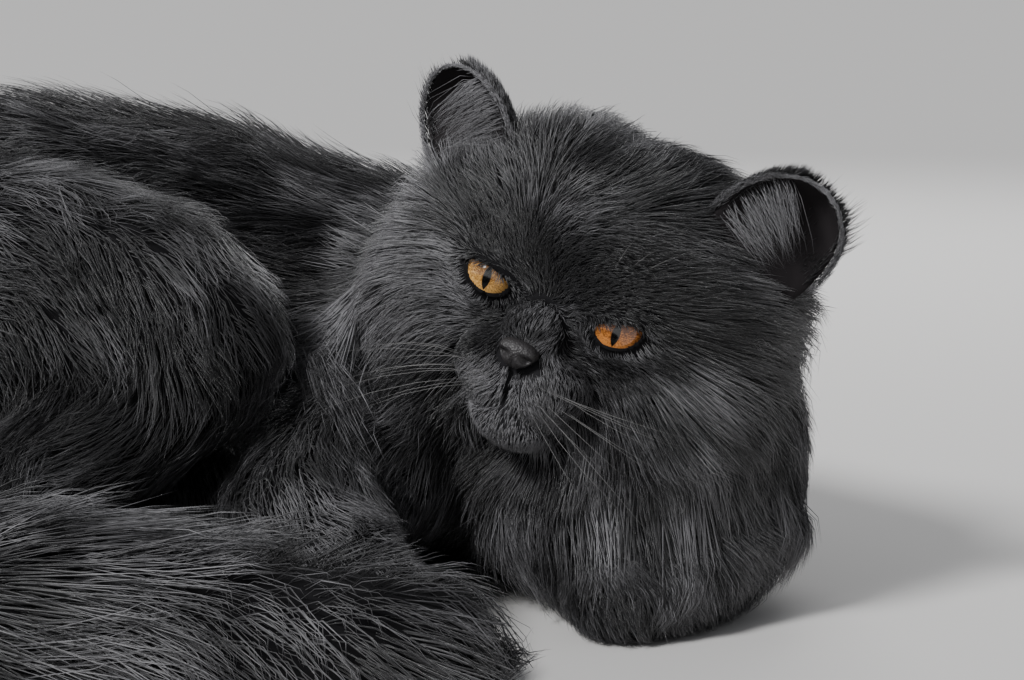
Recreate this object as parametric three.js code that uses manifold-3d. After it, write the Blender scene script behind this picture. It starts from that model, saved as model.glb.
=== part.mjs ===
// A Persian cat at rest, life size: it lies curled half on its left hip, with its tail laid round
// in front and its head turned, tilted and held low over its ruff. Millimetres, +Z up, floor at z = 0.
// Each part of the body is a core of flesh and part of its coat, with the coat's locks laid over it.
import * as THREE from "three";
import { mergeVertices } from "three/addons/utils/BufferGeometryUtils.js";
import Module from "manifold-3d";

const wasm = await Module();
wasm.setup();

const vec = (x, y, z) => new THREE.Vector3(x, y, z);

// Driving dimensions
const gap = 0.35; // left between parts that touch
const eyeHeight = 101; // middle of the two eyes above the floor
const headTurn = { yaw: 21, roll: 20 }; // degrees: towards the body, and down on the cat's left
const eyeball = { radius: 10.4, apart: 42, up: 3, forward: 22.5 };
const eyeOpening = { wide: 15.6, over: 2.8, under: 5.2, slant: 15, outlook: 12 }; // degrees to the cat's left
const noseLeather = { wide: 14, tall: 8.6, deep: 9, down: -12.3, front: 45 };
const mouthLine = { radius: 0.8, start: -17, fork: -27, corner: [16, -35.5] };
const coatInCore = 0.5; // share of the coat's depth that the cores take in
const seed = 7;

// Head frame: x to the cat's left, y up, z out of the face. Its origin is the middle of the skull.
const yaw = THREE.MathUtils.degToRad(headTurn.yaw);
const roll = THREE.MathUtils.degToRad(headTurn.roll);
const headAxes = new THREE.Matrix4()
  .makeRotationX(Math.PI / 2)
  .multiply(new THREE.Matrix4().makeRotationY(-yaw))
  .multiply(new THREE.Matrix4().makeRotationZ(-roll));
const eyesInHead = vec(0, eyeball.up, eyeball.forward + eyeball.radius);
const headOrigin = vec(0, 0, eyeHeight).sub(eyesInHead.clone().applyMatrix4(headAxes));
const headToWorld = new THREE.Matrix4().makeTranslation(headOrigin).multiply(headAxes);
const worldToHead = headToWorld.clone().invert();
const outOfHead = (p) => p.clone().applyMatrix4(headToWorld);

// The bare head: smooth lumps in the head frame. A pair is mirrored to both sides.
const headLumps = [
  { at: [13, 6, -9], size: [30, 34, 38], pair: true }, // cranium
  { at: [0, 19, 9], size: [25, 16, 22] }, // forehead
  { at: [25, -12, 5], size: [18, 18, 20], pair: true }, // cheekbone and jowl
  { at: [0, -20, 15], size: [20, 14, 17] }, // jaw
  { at: [8.5, -20.5, 31], size: [10.5, 8.5, 9.5], pair: true }, // whisker pad
  { at: [0, -34, 23.5], size: [11, 8, 10.5] }, // chin
  { at: [0, -7, 31], size: [7.5, 8, 8.5] }, // short nose bridge
  { at: [17, 15, 18], size: [13, 8, 12], pair: true }, // brow
  { at: [21, 3, 21], size: [12.4, 11.5, 12.2], pair: true }, // lids over the eyeball
];
const headBlend = 2;
// Coat over the head, by direction from its middle: up is the angle from the cat's side to its crown.
// It is short out to the start angle from the way the head faces, and has its depth from the end angle.
const faceCoat = 1.8;
const headCoat = [
  { up: 90, start: 22, end: 62, depth: 13 }, // crown
  { up: 45, start: 38, end: 80, depth: 13 }, // before the ears
  { up: 8, start: 42, end: 90, depth: 27 }, // temples
  { up: -25, start: 42, end: 88, depth: 36 }, // cheek ruff
  { up: -60, start: 46, end: 88, depth: 38 }, // ruff below the cheeks
  { up: -90, start: 50, end: 95, depth: 29 }, // throat
];
const napeCoat = { start: 120, end: 160, depth: 20 };

// Trunk, from the chest's front to the rump, bent like a C that opens to the front, then tail and limbs.
// A station is [x, y, z, half-width, half-height, coat depth], and the coat lies from first to last.
const stations = {
  neck: [
    [20, 60, 86, 26, 28, 18],
    [18, 74, 76, 32, 34, 20],
    [14, 86, 64, 38, 42, 20],
  ],
  chest: [
    [24, 50, 50, 34, 36, 24],
    [12, 92, 56, 47, 44, 16],
    [-28, 135, 57, 53, 47, 17],
    [-72, 157, 61, 55, 51, 18],
  ],
  belly: [
    [-72, 157, 61, 55, 51, 18],
    [-125, 165, 66, 57, 61, 21],
    [-176, 152, 68, 57, 64, 22],
  ],
  rump: [
    [-176, 152, 68, 57, 64, 22],
    [-215, 122, 68, 56, 62, 22],
    [-243, 85, 60, 48, 52, 20],
    [-256, 58, 52, 36, 42, 20],
  ],
  tail_base: [
    [-262, 42, 40, 13, 13, 21],
    [-276, 8, 36, 12, 12, 24],
    [-268, -34, 36, 11, 11, 26],
    [-243, -68, 36, 10, 10, 27],
  ],
  tail_middle: [
    [-243, -68, 36, 10, 10, 27],
    [-205, -92, 36, 9, 9, 28],
    [-160, -107, 36, 8.5, 8.5, 28],
    [-128, -112, 35, 8, 8, 28],
  ],
  tail_tip: [
    [-128, -112, 35, 8, 8, 28],
    [-88, -116, 34, 7, 7, 27],
    [-54, -114, 32, 6, 6, 25],
    [-30, -108, 30, 4.5, 4.5, 22],
  ],
  thigh_right: [
    [-206.3, 94.2, 87.4, 36.6, 34.4, 17],
    [-160, 62, 88, 38, 34, 17],
    [-122, 38, 88, 27, 27, 15],
    [-104.6, 27.5, 83.5, 17.5, 19.3, 13],
  ],
  hind_foot_right: [
    [-112, 22, 72, 15, 15, 10],
    [-150, 0, 44, 12, 12, 10],
    [-172, -16, 24, 11, 11, 8],
    [-140, -34, 13, 11, 9, 5],
    [-108, -46, 11, 13, 10, 4],
  ],
  thigh_left: [
    [-196, 92, 42, 32, 30, 12],
    [-150, 62, 36, 29, 26, 12],
    [-112, 52, 32, 18, 18, 10],
  ],
  hind_foot_left: [
    [-112, 42, 24, 12, 13, 8],
    [-130, 14, 16, 11, 11, 6],
    [-104, -6, 12, 11, 9, 5],
    [-74, -14, 11, 13, 10, 4],
  ],
  foreleg_right: [
    [-14, 82, 66, 20, 20, 12],
    [-58, 46, 44, 18, 18, 13],
    [-70, 16, 33, 15, 16, 13],
    [-60, -12, 25, 12, 13, 10],
    [-46, -32, 19, 11, 11, 6],
  ],
  forepaw_right: [
    [-46, -32, 17, 11, 10, 4],
    [-36, -44, 13, 13, 11, 3.5],
    [-29, -50, 11, 13, 10, 3],
  ],
  foreleg_left: [
    [46, 92, 60, 19, 20, 12],
    [60, 70, 40, 17, 18, 12],
    [56, 44, 26, 13, 14, 10],
    [42, 24, 20, 11, 12, 7],
  ],
  forepaw_left: [
    [42, 24, 17, 11, 10, 4],
    [30, 14, 13, 13, 11, 3.5],
    [22, 9, 11, 13, 10, 3],
  ],
};

// Locks of the coat on each part: their length, width and thickness, how far apart they root, and
// how much they hang towards the floor as well as lying along the part.
const lockSizes = {
  head: { long: 36, wide: 18.5, thick: 4.5, apart: 20.5, hang: 0.35 },
  neck: { long: 50, wide: 24, thick: 5, apart: 28, hang: 0.3 },
  chest: { long: 60, wide: 31, thick: 5, apart: 36, hang: 0.5 },
  belly: { long: 76, wide: 38, thick: 5.5, apart: 42, hang: 0.5 },
  rump: { long: 70, wide: 38, thick: 5.5, apart: 41, hang: 0.5 },
  tail_base: { long: 56, wide: 26, thick: 5, apart: 30, hang: 0 },
  tail_middle: { long: 58, wide: 26, thick: 5, apart: 30, hang: 0 },
  tail_tip: { long: 50, wide: 24, thick: 5, apart: 28, hang: 0 },
  thigh_right: { long: 54, wide: 31, thick: 5.5, apart: 35, hang: 0.5 },
  thigh_left: { long: 40, wide: 22, thick: 4.5, apart: 34, hang: 0.6 },
  hind_foot_right: { long: 34, wide: 17, thick: 4, apart: 24, hang: 0.1 },
  foreleg_right: { long: 38, wide: 18, thick: 4.5, apart: 25, hang: 0.1 },
  foreleg_left: { long: 36, wide: 18, thick: 4.5, apart: 27, hang: 0.1 },
};
// Roots of locks: how deep they are set, the coat too short for them, and how far off floor and parts
const lockRoot = { sink: 3.5, bare: 8, low: 4, inside: 2, tries: 1200 };
const bodyBlend = 3; // how smoothly the parts' coats run together
const noseOfLie = [0, -8, 22]; // the coat of the head lies away from here, in the head frame

// Ears, in the head frame. Across runs from the inner edge of the base to the outer one.
const earShape = { halfWide: 18.5, tall: 27, deep: 12, shell: 2, root: 11, fill: 2 };
const ears = {
  ear_left: { base: [47, 34.5, 4], across: [33, -21, -10], tip: [12, 24, 3], swivel: 5 },
  ear_right: { base: [-45.5, 28, 5], across: [-27.5, -28, -10], tip: [-17, 23, 1], swivel: 10 },
};

// Seeded draws, the same on each run
let drawState = seed;
function draw(low = 0, high = 1) {
  drawState = (drawState * 1664525 + 1013904223) % 4294967296;
  return low + (high - low) * (drawState / 4294967296);
}

const lumps = headLumps.flatMap((lump) =>
  lump.pair ? [lump, { ...lump, at: [-lump.at[0], lump.at[1], lump.at[2]] }] : [lump],
);

// Height of an offset from an oval's middle above the oval's surface
function overOval(x, y, z, half) {
  const share = Math.hypot(x / half[0], y / half[1], z / half[2]);
  const slope = Math.hypot(x / half[0] ** 2, y / half[1] ** 2, z / half[2] ** 2);
  return slope < 1e-9 ? -Math.min(...half) : (share * (share - 1)) / slope;
}

function softLeast(values, blend) {
  const least = Math.min(...values);
  const sum = values.reduce((total, value) => total + Math.exp((least - value) / blend), 0);
  return least - blend * Math.log(sum);
}

const overHead = (p) =>
  softLeast(
    lumps.map(({ at, size }) => overOval(p.x - at[0], p.y - at[1], p.z - at[2], size)),
    headBlend,
  );

function headCoatDepth(p) {
  const { radToDeg, lerp, smoothstep } = THREE.MathUtils;
  const up = radToDeg(Math.atan2(p.y, Math.abs(p.x)));
  const away = radToDeg(Math.acos(p.z / p.length()));
  const i = Math.max(1, headCoat.findIndex((row) => row.up <= up));
  const [a, b] = [headCoat[i - 1], headCoat[i]];
  const mix = smoothstep(up, b.up, a.up);
  const [start, end, depth] = ["start", "end", "depth"].map((key) => lerp(b[key], a[key], mix));
  const full = lerp(depth, napeCoat.depth, smoothstep(away, napeCoat.start, napeCoat.end));
  return lerp(faceCoat, full, smoothstep(away, start, end));
}

// A length of the body round a smooth line through its stations
class Length {
  constructor(list) {
    this.list = list;
    this.line = new THREE.CatmullRomCurve3(list.map((s) => vec(s[0], s[1], s[2])), false, "centripetal");
    const rise = this.line.getTangent(0.5);
    this.up = Math.abs(rise.z) > 0.8 ? vec(0, -1, 0) : vec(0, 0, 1);
    this.samples = Array.from({ length: 33 }, (_, i) => this.at(i / 32));
  }

  at(t) {
    const last = this.list.length - 1;
    const i = Math.min(Math.floor(t * last), last - 1);
    const mix = THREE.MathUtils.smoothstep(t * last - i, 0, 1);
    const value = (k) => THREE.MathUtils.lerp(this.list[i][k], this.list[i + 1][k], mix);
    const along = this.line.getTangent(t);
    const side = vec(0, 0, 0).crossVectors(along, this.up).normalize();
    const up = vec(0, 0, 0).crossVectors(side, along);
    return { middle: this.line.getPoint(t), along, side, up, wide: value(3), tall: value(4), coat: value(5) };
  }

  nearest(p) {
    let best = this.samples[0];
    let least = Infinity;
    for (const sample of this.samples) {
      const away = sample.middle.distanceToSquared(p) - 0.5 * sample.wide * sample.tall;
      if (away < least) {
        least = away;
        best = sample;
      }
    }
    return best;
  }

  // Height above the skin, and the coat's depth there
  over(p) {
    const { middle, along, side, up, wide, tall, coat } = this.nearest(p);
    const off = p.clone().sub(middle);
    const cap = Math.min(wide, tall);
    return { height: overOval(off.dot(side), off.dot(up), off.dot(along), [wide, tall, cap]), coat };
  }

  // Point of the core's outside at t along and a turn round, with grow added; bend rounds off an end
  surface(t, turn, grow, bend = 0) {
    const s = this.at(t);
    const wide = s.wide + s.coat * coatInCore + grow;
    const tall = s.tall + s.coat * coatInCore + grow;
    const cap = Math.min(s.wide, s.tall) + s.coat * coatInCore + grow;
    return s.middle
      .addScaledVector(s.along, Math.sin(bend) * cap)
      .addScaledVector(s.side, Math.cos(turn) * wide * Math.cos(bend))
      .addScaledVector(s.up, Math.sin(turn) * tall * Math.cos(bend));
  }
}

const lengths = Object.fromEntries(Object.entries(stations).map(([name, list]) => [name, new Length(list)]));

function solidOf(geometry) {
  const bare = geometry.clone();
  bare.deleteAttribute("normal");
  bare.deleteAttribute("uv");
  const merged = mergeVertices(bare, 1e-4);
  return new wasm.Manifold(
    new wasm.Mesh({
      numProp: 3,
      vertProperties: merged.attributes.position.array,
      triVerts: new Uint32Array(merged.index.array),
    }),
  );
}

// Closed skin over rings of equal count, with a point at each end
function ringed(start, rings, end) {
  const sides = rings[0].length;
  const points = [start, ...rings.flat(), end];
  const corner = (ring, i) => 1 + ring * sides + (i % sides);
  const triangles = [];
  for (let i = 0; i < sides; i++) {
    triangles.push(0, corner(0, i), corner(0, i + 1));
    for (let ring = 0; ring + 1 < rings.length; ring++) {
      triangles.push(corner(ring, i), corner(ring + 1, i), corner(ring + 1, i + 1));
      triangles.push(corner(ring, i), corner(ring + 1, i + 1), corner(ring, i + 1));
    }
    triangles.push(points.length - 1, corner(rings.length - 1, i + 1), corner(rings.length - 1, i));
  }
  const geometry = new THREE.BufferGeometry();
  geometry.setAttribute("position", new THREE.Float32BufferAttribute(points.flatMap((p) => [p.x, p.y, p.z]), 3));
  geometry.setIndex(triangles);
  return solidOf(geometry);
}

const turns = (count) => Array.from({ length: count }, (_, i) => (i / count) * 2 * Math.PI);

function lengthCore(length, grow) {
  const rings = 5;
  const sides = 10;
  const ends = [-1, 1].map((way) => [0.75, 0.35].map((bend) => way * bend * (Math.PI / 2)));
  const ring = (t, bend) => turns(sides).map((turn) => length.surface(t, turn, grow, bend));
  return ringed(
    length.surface(0, 0, grow, -Math.PI / 2),
    [
      ...ends[0].map((bend) => ring(0, bend)),
      ...Array.from({ length: rings }, (_, i) => ring(i / (rings - 1), 0)),
      ...ends[1].toReversed().map((bend) => ring(1, bend)),
    ],
    length.surface(1, 0, grow, Math.PI / 2),
  );
}

// The head's outside is found along each direction from its middle, closest together on the face
function headReach(direction, share, grow) {
  let near = 5;
  let far = 110;
  for (let i = 0; i < 22; i++) {
    const middle = (near + far) / 2;
    const p = direction.clone().multiplyScalar(middle);
    if (overHead(p) - share * headCoatDepth(p) - grow > 0) far = middle;
    else near = middle;
  }
  return direction.clone().multiplyScalar(near);
}

function headCore(grow) {
  const around = 30;
  const rows = 20;
  const facing = (row, turn) => {
    const tilt = Math.PI * (row / rows) ** 1.35;
    return vec(Math.sin(tilt) * Math.cos(turn), Math.sin(tilt) * Math.sin(turn), Math.cos(tilt));
  };
  const reach = (row, turn) => outOfHead(headReach(facing(row, turn), coatInCore, grow));
  const rings = Array.from({ length: rows - 1 }, (_, row) => turns(around).map((turn) => reach(row + 1, turn)));
  return ringed(reach(0, 0), rings, reach(rows, 0));
}

function eye(side, grow) {
  const ball = new THREE.SphereGeometry(eyeball.radius + grow, 14, 8);
  ball.translate((side * eyeball.apart) / 2, eyeball.up, eyeball.forward);
  return solidOf(ball.applyMatrix4(headToWorld));
}

// Opening between the lids: flat above and round below, its outer end the higher
function lidOpening(side) {
  const half = eyeOpening.wide / 2;
  const shape = new THREE.Shape();
  shape.absellipse(0, 0, half, eyeOpening.over, 0, Math.PI);
  shape.absellipse(0, 0, half, eyeOpening.under, Math.PI, 2 * Math.PI);
  const cutter = new THREE.ExtrudeGeometry(shape, { depth: 30, bevelEnabled: false, curveSegments: 6 });
  cutter.rotateZ(side * THREE.MathUtils.degToRad(eyeOpening.slant));
  cutter.rotateY(THREE.MathUtils.degToRad(eyeOpening.outlook));
  cutter.translate((side * eyeball.apart) / 2, eyeball.up, eyeball.forward);
  return solidOf(cutter.applyMatrix4(headToWorld));
}

// Nose leather, wider above than below, with a nostril cut in on each side
function nose(grow) {
  const { wide, tall, deep, down, front } = noseLeather;
  const pad = new THREE.SphereGeometry(1, 12, 8);
  const position = pad.attributes.position;
  for (let i = 0; i < position.count; i++) {
    const y = position.getY(i);
    position.setX(i, position.getX(i) * (wide / 2 + grow) * (0.82 + 0.22 * y));
    position.setY(i, y * (tall / 2 + grow));
    position.setZ(i, position.getZ(i) * (deep / 2 + grow));
  }
  pad.translate(0, down, front - deep / 2);
  let solid = solidOf(pad.applyMatrix4(headToWorld));
  for (const side of grow > 0 ? [] : [-1, 1]) {
    const nostril = new THREE.SphereGeometry(1, 8, 6).scale(1.7, 1.1, 2);
    nostril.rotateZ(side * 0.5);
    nostril.translate(side * 3.7, down - 0.6, front - 1.2);
    solid = solid.subtract(solidOf(nostril.applyMatrix4(headToWorld)));
  }
  return solid;
}

// Thin channel along a line drawn on the face
function faceLine(points, radius) {
  const onFace = points.map(([x, y]) => {
    let near = 10;
    let far = 70;
    for (let i = 0; i < 20; i++) {
      const z = (near + far) / 2;
      const p = vec(x, y, z);
      if (overHead(p) - coatInCore * headCoatDepth(p) > 0) far = z;
      else near = z;
    }
    return outOfHead(vec(x, y, near));
  });
  const circle = new THREE.Shape();
  circle.absarc(0, 0, radius, 0, 2 * Math.PI);
  const extrudePath = new THREE.CatmullRomCurve3(onFace);
  return solidOf(new THREE.ExtrudeGeometry(circle, { extrudePath, steps: 5, curveSegments: 3 }));
}

function mouthLines() {
  const { radius, start, fork, corner } = mouthLine;
  const lines = [faceLine([[0, start], [0, (start + fork) / 2], [0, fork - 1]], radius)];
  for (const side of [-1, 1]) {
    const [x, y] = corner;
    const bow = [[0, fork], [0.3 * x, fork - 3.4], [0.62 * x, fork - 5], [x, y]];
    lines.push(faceLine(bow.map(([a, b]) => [side * a, b]), radius));
  }
  return lines;
}

// Ear: a curved shell whose cup opens forward, filled at its root
function ear({ base, across, tip, swivel }, grow) {
  const { halfWide, tall, deep, shell, root, fill } = earShape;
  const rise = vec(...tip).normalize();
  const outer = vec(...across).projectOnPlane(rise).normalize();
  const mirrored = base[0] > 0 ? 1 : -1;
  const front = vec(0, 0, 0).crossVectors(outer, rise).multiplyScalar(mirrored);
  const turn = THREE.MathUtils.degToRad(swivel);
  const wide = outer.clone().multiplyScalar(Math.cos(turn)).addScaledVector(front, -Math.sin(turn));
  const open = front.clone().multiplyScalar(Math.cos(turn)).addScaledVector(outer, Math.sin(turn));
  const steps = 7;
  const arc = 7;
  const first = -root / tall;
  const ring = (t) => {
    const taper = Math.max(0, 1 - Math.max(t, 0) ** 2.6) ** 0.55;
    const half = halfWide * taper;
    const back = deep * taper ** 0.8;
    const wall = Math.min(shell, 0.4 * half);
    const hollow = THREE.MathUtils.smoothstep(t, -0.05, 0.4);
    const middle = vec(...base).addScaledVector(rise, t * tall - (t === first ? grow : 0));
    const place = (a, b) => middle.clone().addScaledVector(wide, a).addScaledVector(open, b);
    const outside = Array.from({ length: arc + 1 }, (_, i) => {
      const angle = (i / arc) * Math.PI;
      const rim = i % arc === 0 ? grow : 0;
      return place(Math.cos(angle) * (half + grow), rim - Math.sin(angle) * (back + grow));
    });
    const inside = Array.from({ length: arc - 1 }, (_, i) => {
      const angle = Math.PI - ((i + 1) / arc) * Math.PI;
      const reach = half - wall + grow * (1 - 2 * hollow);
      const forward = grow + fill * (1 - hollow) - (back - wall) * hollow;
      return place(Math.cos(angle) * reach, Math.sin(angle) * forward);
    });
    const loop = [...outside, ...inside].map(outOfHead);
    return mirrored > 0 ? loop.toReversed() : loop;
  };
  const rings = Array.from({ length: steps }, (_, i) => ring(first + (0.97 - first) * (i / (steps - 1)) ** 0.85));
  const end = (t, out) =>
    outOfHead(vec(...base).addScaledVector(rise, t * tall + out).addScaledVector(open, t < 0 ? -0.2 * deep : 0));
  return ringed(end(first, -2 * grow), rings, end(1, grow));
}

// Height above the skin of the whole cat, where its parts run smoothly together, and the coat there
function overCat(p) {
  const parts = Object.values(lengths).map((length) => length.over(p));
  const q = p.clone().applyMatrix4(worldToHead);
  parts.push({ height: overHead(q), coat: headCoatDepth(q) });
  const height = softLeast(parts.map((part) => part.height), bodyBlend);
  const shares = parts.map((part) => Math.exp((height - part.height) / bodyBlend));
  const coat = parts.reduce((sum, part, i) => sum + shares[i] * part.coat, 0);
  return { height, coat: coat / shares.reduce((sum, share) => sum + share, 0) };
}

function outward(p) {
  const step = 0.8;
  const ways = [vec(1, 0, 0), vec(0, 1, 0), vec(0, 0, 1)];
  const rise = (way) =>
    overCat(p.clone().addScaledVector(way, step)).height - overCat(p.clone().addScaledVector(way, -step)).height;
  return vec(...ways.map(rise)).normalize();
}

// Way the coat lies at a point of a part
function lieAt(name, p, hang) {
  const lie = name === "head"
    ? p.clone().applyMatrix4(worldToHead).sub(vec(...noseOfLie)).transformDirection(headToWorld)
    : lengths[name].nearest(p).along.clone();
  lie.z -= hang * THREE.MathUtils.smoothstep(p.z, 4, 30);
  if (p.z < 12) lie.z = Math.max(lie.z, 0);
  return lie;
}

// A lock's line, from its sunk root to its tip on the outside of the coat
function combed(name, root, size) {
  const steps = 3;
  const long = size.long * draw(0.8, 1.2);
  const lean = draw(-0.16, 0.16);
  const bend = draw(-0.1, 0.1);
  const lift = draw(0.86, 1.04);
  const line = [];
  let p = root.clone();
  for (let i = 0; i <= steps; i++) {
    const share = i / steps;
    const out = outward(p);
    const { height, coat } = overCat(p);
    const wanted = coat * (coatInCore + (lift - coatInCore) * share ** 0.85) - lockRoot.sink * (1 - share) ** 2;
    p = p.clone().addScaledVector(out, wanted - height);
    p.z = Math.max(p.z, 0.4 * size.thick);
    const lie = lieAt(name, p, size.hang).projectOnPlane(out).normalize().applyAxisAngle(out, lean + bend * i);
    line.push({ p, out, lie });
    p = p.clone().addScaledVector(lie, long / steps);
  }
  return { line, size };
}

// A flat lock, widest in its first half and drawn out to its tip. A grown one is blunt all round.
function lock({ line, size }, grow) {
  const shape = [{ width: 0.66, depth: 1 }, { width: 1, depth: 1 }, { width: 0.8, depth: 0.8 }];
  if (grow > 0) shape.push({ width: 0, depth: 0 });
  const rings = shape.map(({ width, depth }, i) => {
    const { p, out, lie } = line[i];
    const side = vec(0, 0, 0).crossVectors(lie, out).normalize();
    const wide = (size.wide * width) / 2 + 1.5 * grow;
    const under = -0.2 * size.thick * depth;
    const place = (a, b) => p.clone().addScaledVector(side, a).addScaledVector(out, b);
    const edge = (a) => (grow > 0 ? [place(a, under - grow), place(a, under + grow)] : [place(a, under)]);
    return [...edge(wide), place(0, 0.5 * size.thick * depth + 1.2 * grow), ...edge(-wide).toReversed()];
  });
  const root = line[0].p.clone().addScaledVector(line[0].lie, -size.thick - 2 * grow);
  const tip = line[3].p.clone().addScaledVector(line[3].lie, 2 * grow);
  return ringed(root, rings, tip);
}

// Spots on a part's core where locks root: open to the air, off the floor and evenly apart
const allRoots = [];
function rootsOf(name, apart) {
  const roots = [];
  for (let i = 0; i < lockRoot.tries; i++) {
    const spot = draw(-0.2, 1.2);
    const turn = draw(0, 2 * Math.PI);
    const t = THREE.MathUtils.clamp(spot, 0, 1);
    const level = draw(-1, 1);
    const flat = Math.sqrt(1 - level ** 2);
    const direction = vec(flat * Math.cos(turn), flat * Math.sin(turn), level);
    const p = name === "head"
      ? outOfHead(headReach(direction, coatInCore, 0))
      : lengths[name].surface(t, turn, 0, ((spot - t) / 0.2) * (Math.PI / 2));
    const q = p.clone().applyMatrix4(worldToHead);
    const others = Object.keys(lengths).filter((other) => other !== name).map((other) => lengths[other].over(p));
    if (name !== "head") others.push({ height: overHead(q), coat: headCoatDepth(q) });
    const { coat } = overCat(p);
    if (p.z < lockRoot.low || coat < lockRoot.bare) continue;
    if (others.some((other) => other.height < coatInCore * other.coat - lockRoot.inside)) continue;
    if (name === "head" && headCoatDepth(q) < lockRoot.bare) continue;
    if (allRoots.some((other) => other.distanceTo(p) < apart)) continue;
    roots.push(p);
    allRoots.push(p);
  }
  return roots;
}

const makers = {
  eye_left: (grow) => eye(1, grow),
  eye_right: (grow) => eye(-1, grow),
  nose: (grow) => nose(grow),
  ear_left: (grow) => ear(ears.ear_left, 1.5 * grow),
  ear_right: (grow) => ear(ears.ear_right, 1.5 * grow),
  head: (grow) => headCore(grow),
};
for (const [name, length] of Object.entries(lengths)) makers[name] = (grow) => lengthCore(length, grow);

// Each part keeps its shape against those after it in this order
const order = [
  "eye_left", "eye_right", "nose", "ear_left", "ear_right", "head",
  "tail_tip", "tail_middle", "tail_base", "forepaw_right", "forepaw_left", "foreleg_right", "foreleg_left",
  "hind_foot_right", "hind_foot_left", "thigh_right", "thigh_left", "neck", "chest", "belly", "rump",
];

function largest(solid) {
  return solid.decompose().reduce((best, piece) => (piece.volume() > best.volume() ? piece : best));
}

const floorBlock = new THREE.BoxGeometry(2000, 2000, 400).translate(0, 0, -200);
const belowFloor = solidOf(floorBlock);
const solids = {};
const cutters = {};
for (const name of order) {
  const size = lockSizes[name];
  const locks = size ? rootsOf(name, size.apart).map((root) => combed(name, root, size)) : [];
  const whole = (grow) => wasm.Manifold.union([makers[name](grow), ...locks.map((line) => lock(line, grow))]);
  let solid = whole(0);
  for (const other of Object.keys(cutters)) solid = solid.subtract(cutters[other]);
  if (name === "head") {
    for (const cut of [lidOpening(1), lidOpening(-1), ...mouthLines()]) solid = solid.subtract(cut);
  }
  solids[name] = largest(solid.subtract(belowFloor));
  cutters[name] = whole(gap);
}

const colours = { coat: 0x2b2a2d, iris: 0xc07a34, leather: 0x151416 };
const finishOf = (name) => {
  if (name.startsWith("eye")) return { color: colours.iris, roughness: 0.08 };
  if (name === "nose") return { color: colours.leather, roughness: 0.45 };
  return { color: colours.coat, roughness: 0.75 };
};

// The origin is on the floor under the middle of the whole cat
const bounds = new THREE.Box3();
for (const solid of Object.values(solids)) {
  const { min, max } = solid.boundingBox();
  bounds.expandByPoint(vec(...min)).expandByPoint(vec(...max));
}
const middle = bounds.getCenter(vec(0, 0, 0)).setZ(0);

const cat = new THREE.Group();
for (const [name, solid] of Object.entries(solids)) {
  const mesh = solid.getMesh();
  const geometry = new THREE.BufferGeometry();
  geometry.setAttribute("position", new THREE.Float32BufferAttribute(mesh.vertProperties, 3));
  geometry.setIndex(new THREE.BufferAttribute(mesh.triVerts, 1));
  geometry.computeVertexNormals();
  const part = new THREE.Mesh(geometry, new THREE.MeshStandardMaterial({ ...finishOf(name), metalness: 0 }));
  part.name = name;
  part.position.copy(middle).negate();
  cat.add(part);
}

export default cat;
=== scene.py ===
# A Persian cat at rest, life size: skin, coat, eyes, nose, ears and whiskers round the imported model.
# The body's sizes are in millimetres, in a frame whose middle is under the eyes; pieces are in metres.
import math
import bpy
import numpy as np
from mathutils import Matrix, Vector
from mathutils.kdtree import KDTree


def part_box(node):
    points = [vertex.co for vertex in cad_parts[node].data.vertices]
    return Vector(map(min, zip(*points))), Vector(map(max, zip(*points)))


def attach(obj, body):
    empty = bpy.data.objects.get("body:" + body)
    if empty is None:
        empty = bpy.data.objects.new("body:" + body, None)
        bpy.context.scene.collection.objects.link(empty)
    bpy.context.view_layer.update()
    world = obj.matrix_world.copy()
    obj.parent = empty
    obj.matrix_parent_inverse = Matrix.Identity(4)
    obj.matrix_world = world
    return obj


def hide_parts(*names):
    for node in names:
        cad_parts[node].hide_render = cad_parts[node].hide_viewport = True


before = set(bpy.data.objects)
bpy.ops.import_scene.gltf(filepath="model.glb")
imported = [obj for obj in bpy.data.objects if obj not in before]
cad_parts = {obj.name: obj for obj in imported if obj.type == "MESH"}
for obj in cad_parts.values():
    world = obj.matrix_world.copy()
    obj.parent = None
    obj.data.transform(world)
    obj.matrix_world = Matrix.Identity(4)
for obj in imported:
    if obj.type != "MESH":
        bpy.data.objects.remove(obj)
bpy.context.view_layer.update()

dice = np.random.default_rng(11)
mm = 0.001

# The head's own frame: x to the cat's left, y up, z out of the face
headTurn = {"yaw": 21, "roll": 20}
eyeball = {"radius": 10.4, "apart": 42, "up": 3, "forward": 22.5}
eyeHeight = 101


def headAxes():
    faceOut = Matrix.Rotation(math.pi / 2, 3, "X")
    turned = Matrix.Rotation(-math.radians(headTurn["yaw"]), 3, "Y")
    tilted = Matrix.Rotation(-math.radians(headTurn["roll"]), 3, "Z")
    return np.array(faceOut @ turned @ tilted)


axes = headAxes()
betweenEyes = np.array([0, eyeball["up"], eyeball["forward"]])
headOrigin = np.array([0, 0, eyeHeight]) - axes @ (betweenEyes + np.array([0, 0, eyeball["radius"]]))


def nodeMiddle(node):
    low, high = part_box(node)
    return (np.array(low) + np.array(high)) / 2


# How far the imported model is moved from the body's frame, read from its eyes
eyesMiddle = (nodeMiddle("eye_left") + nodeMiddle("eye_right")) / 2
shift = eyesMiddle / mm - (headOrigin + axes @ betweenEyes)
shift[2] = 0
print("body's frame is moved by", shift)


def toHead(p):
    return (p - headOrigin) @ axes


def outOfHead(q):
    return q @ axes.T + headOrigin


def toFrame(p):
    return (p + shift) * mm


def unit(v):
    return v / np.maximum(np.linalg.norm(v, axis=-1, keepdims=True), 1e-9)


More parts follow.
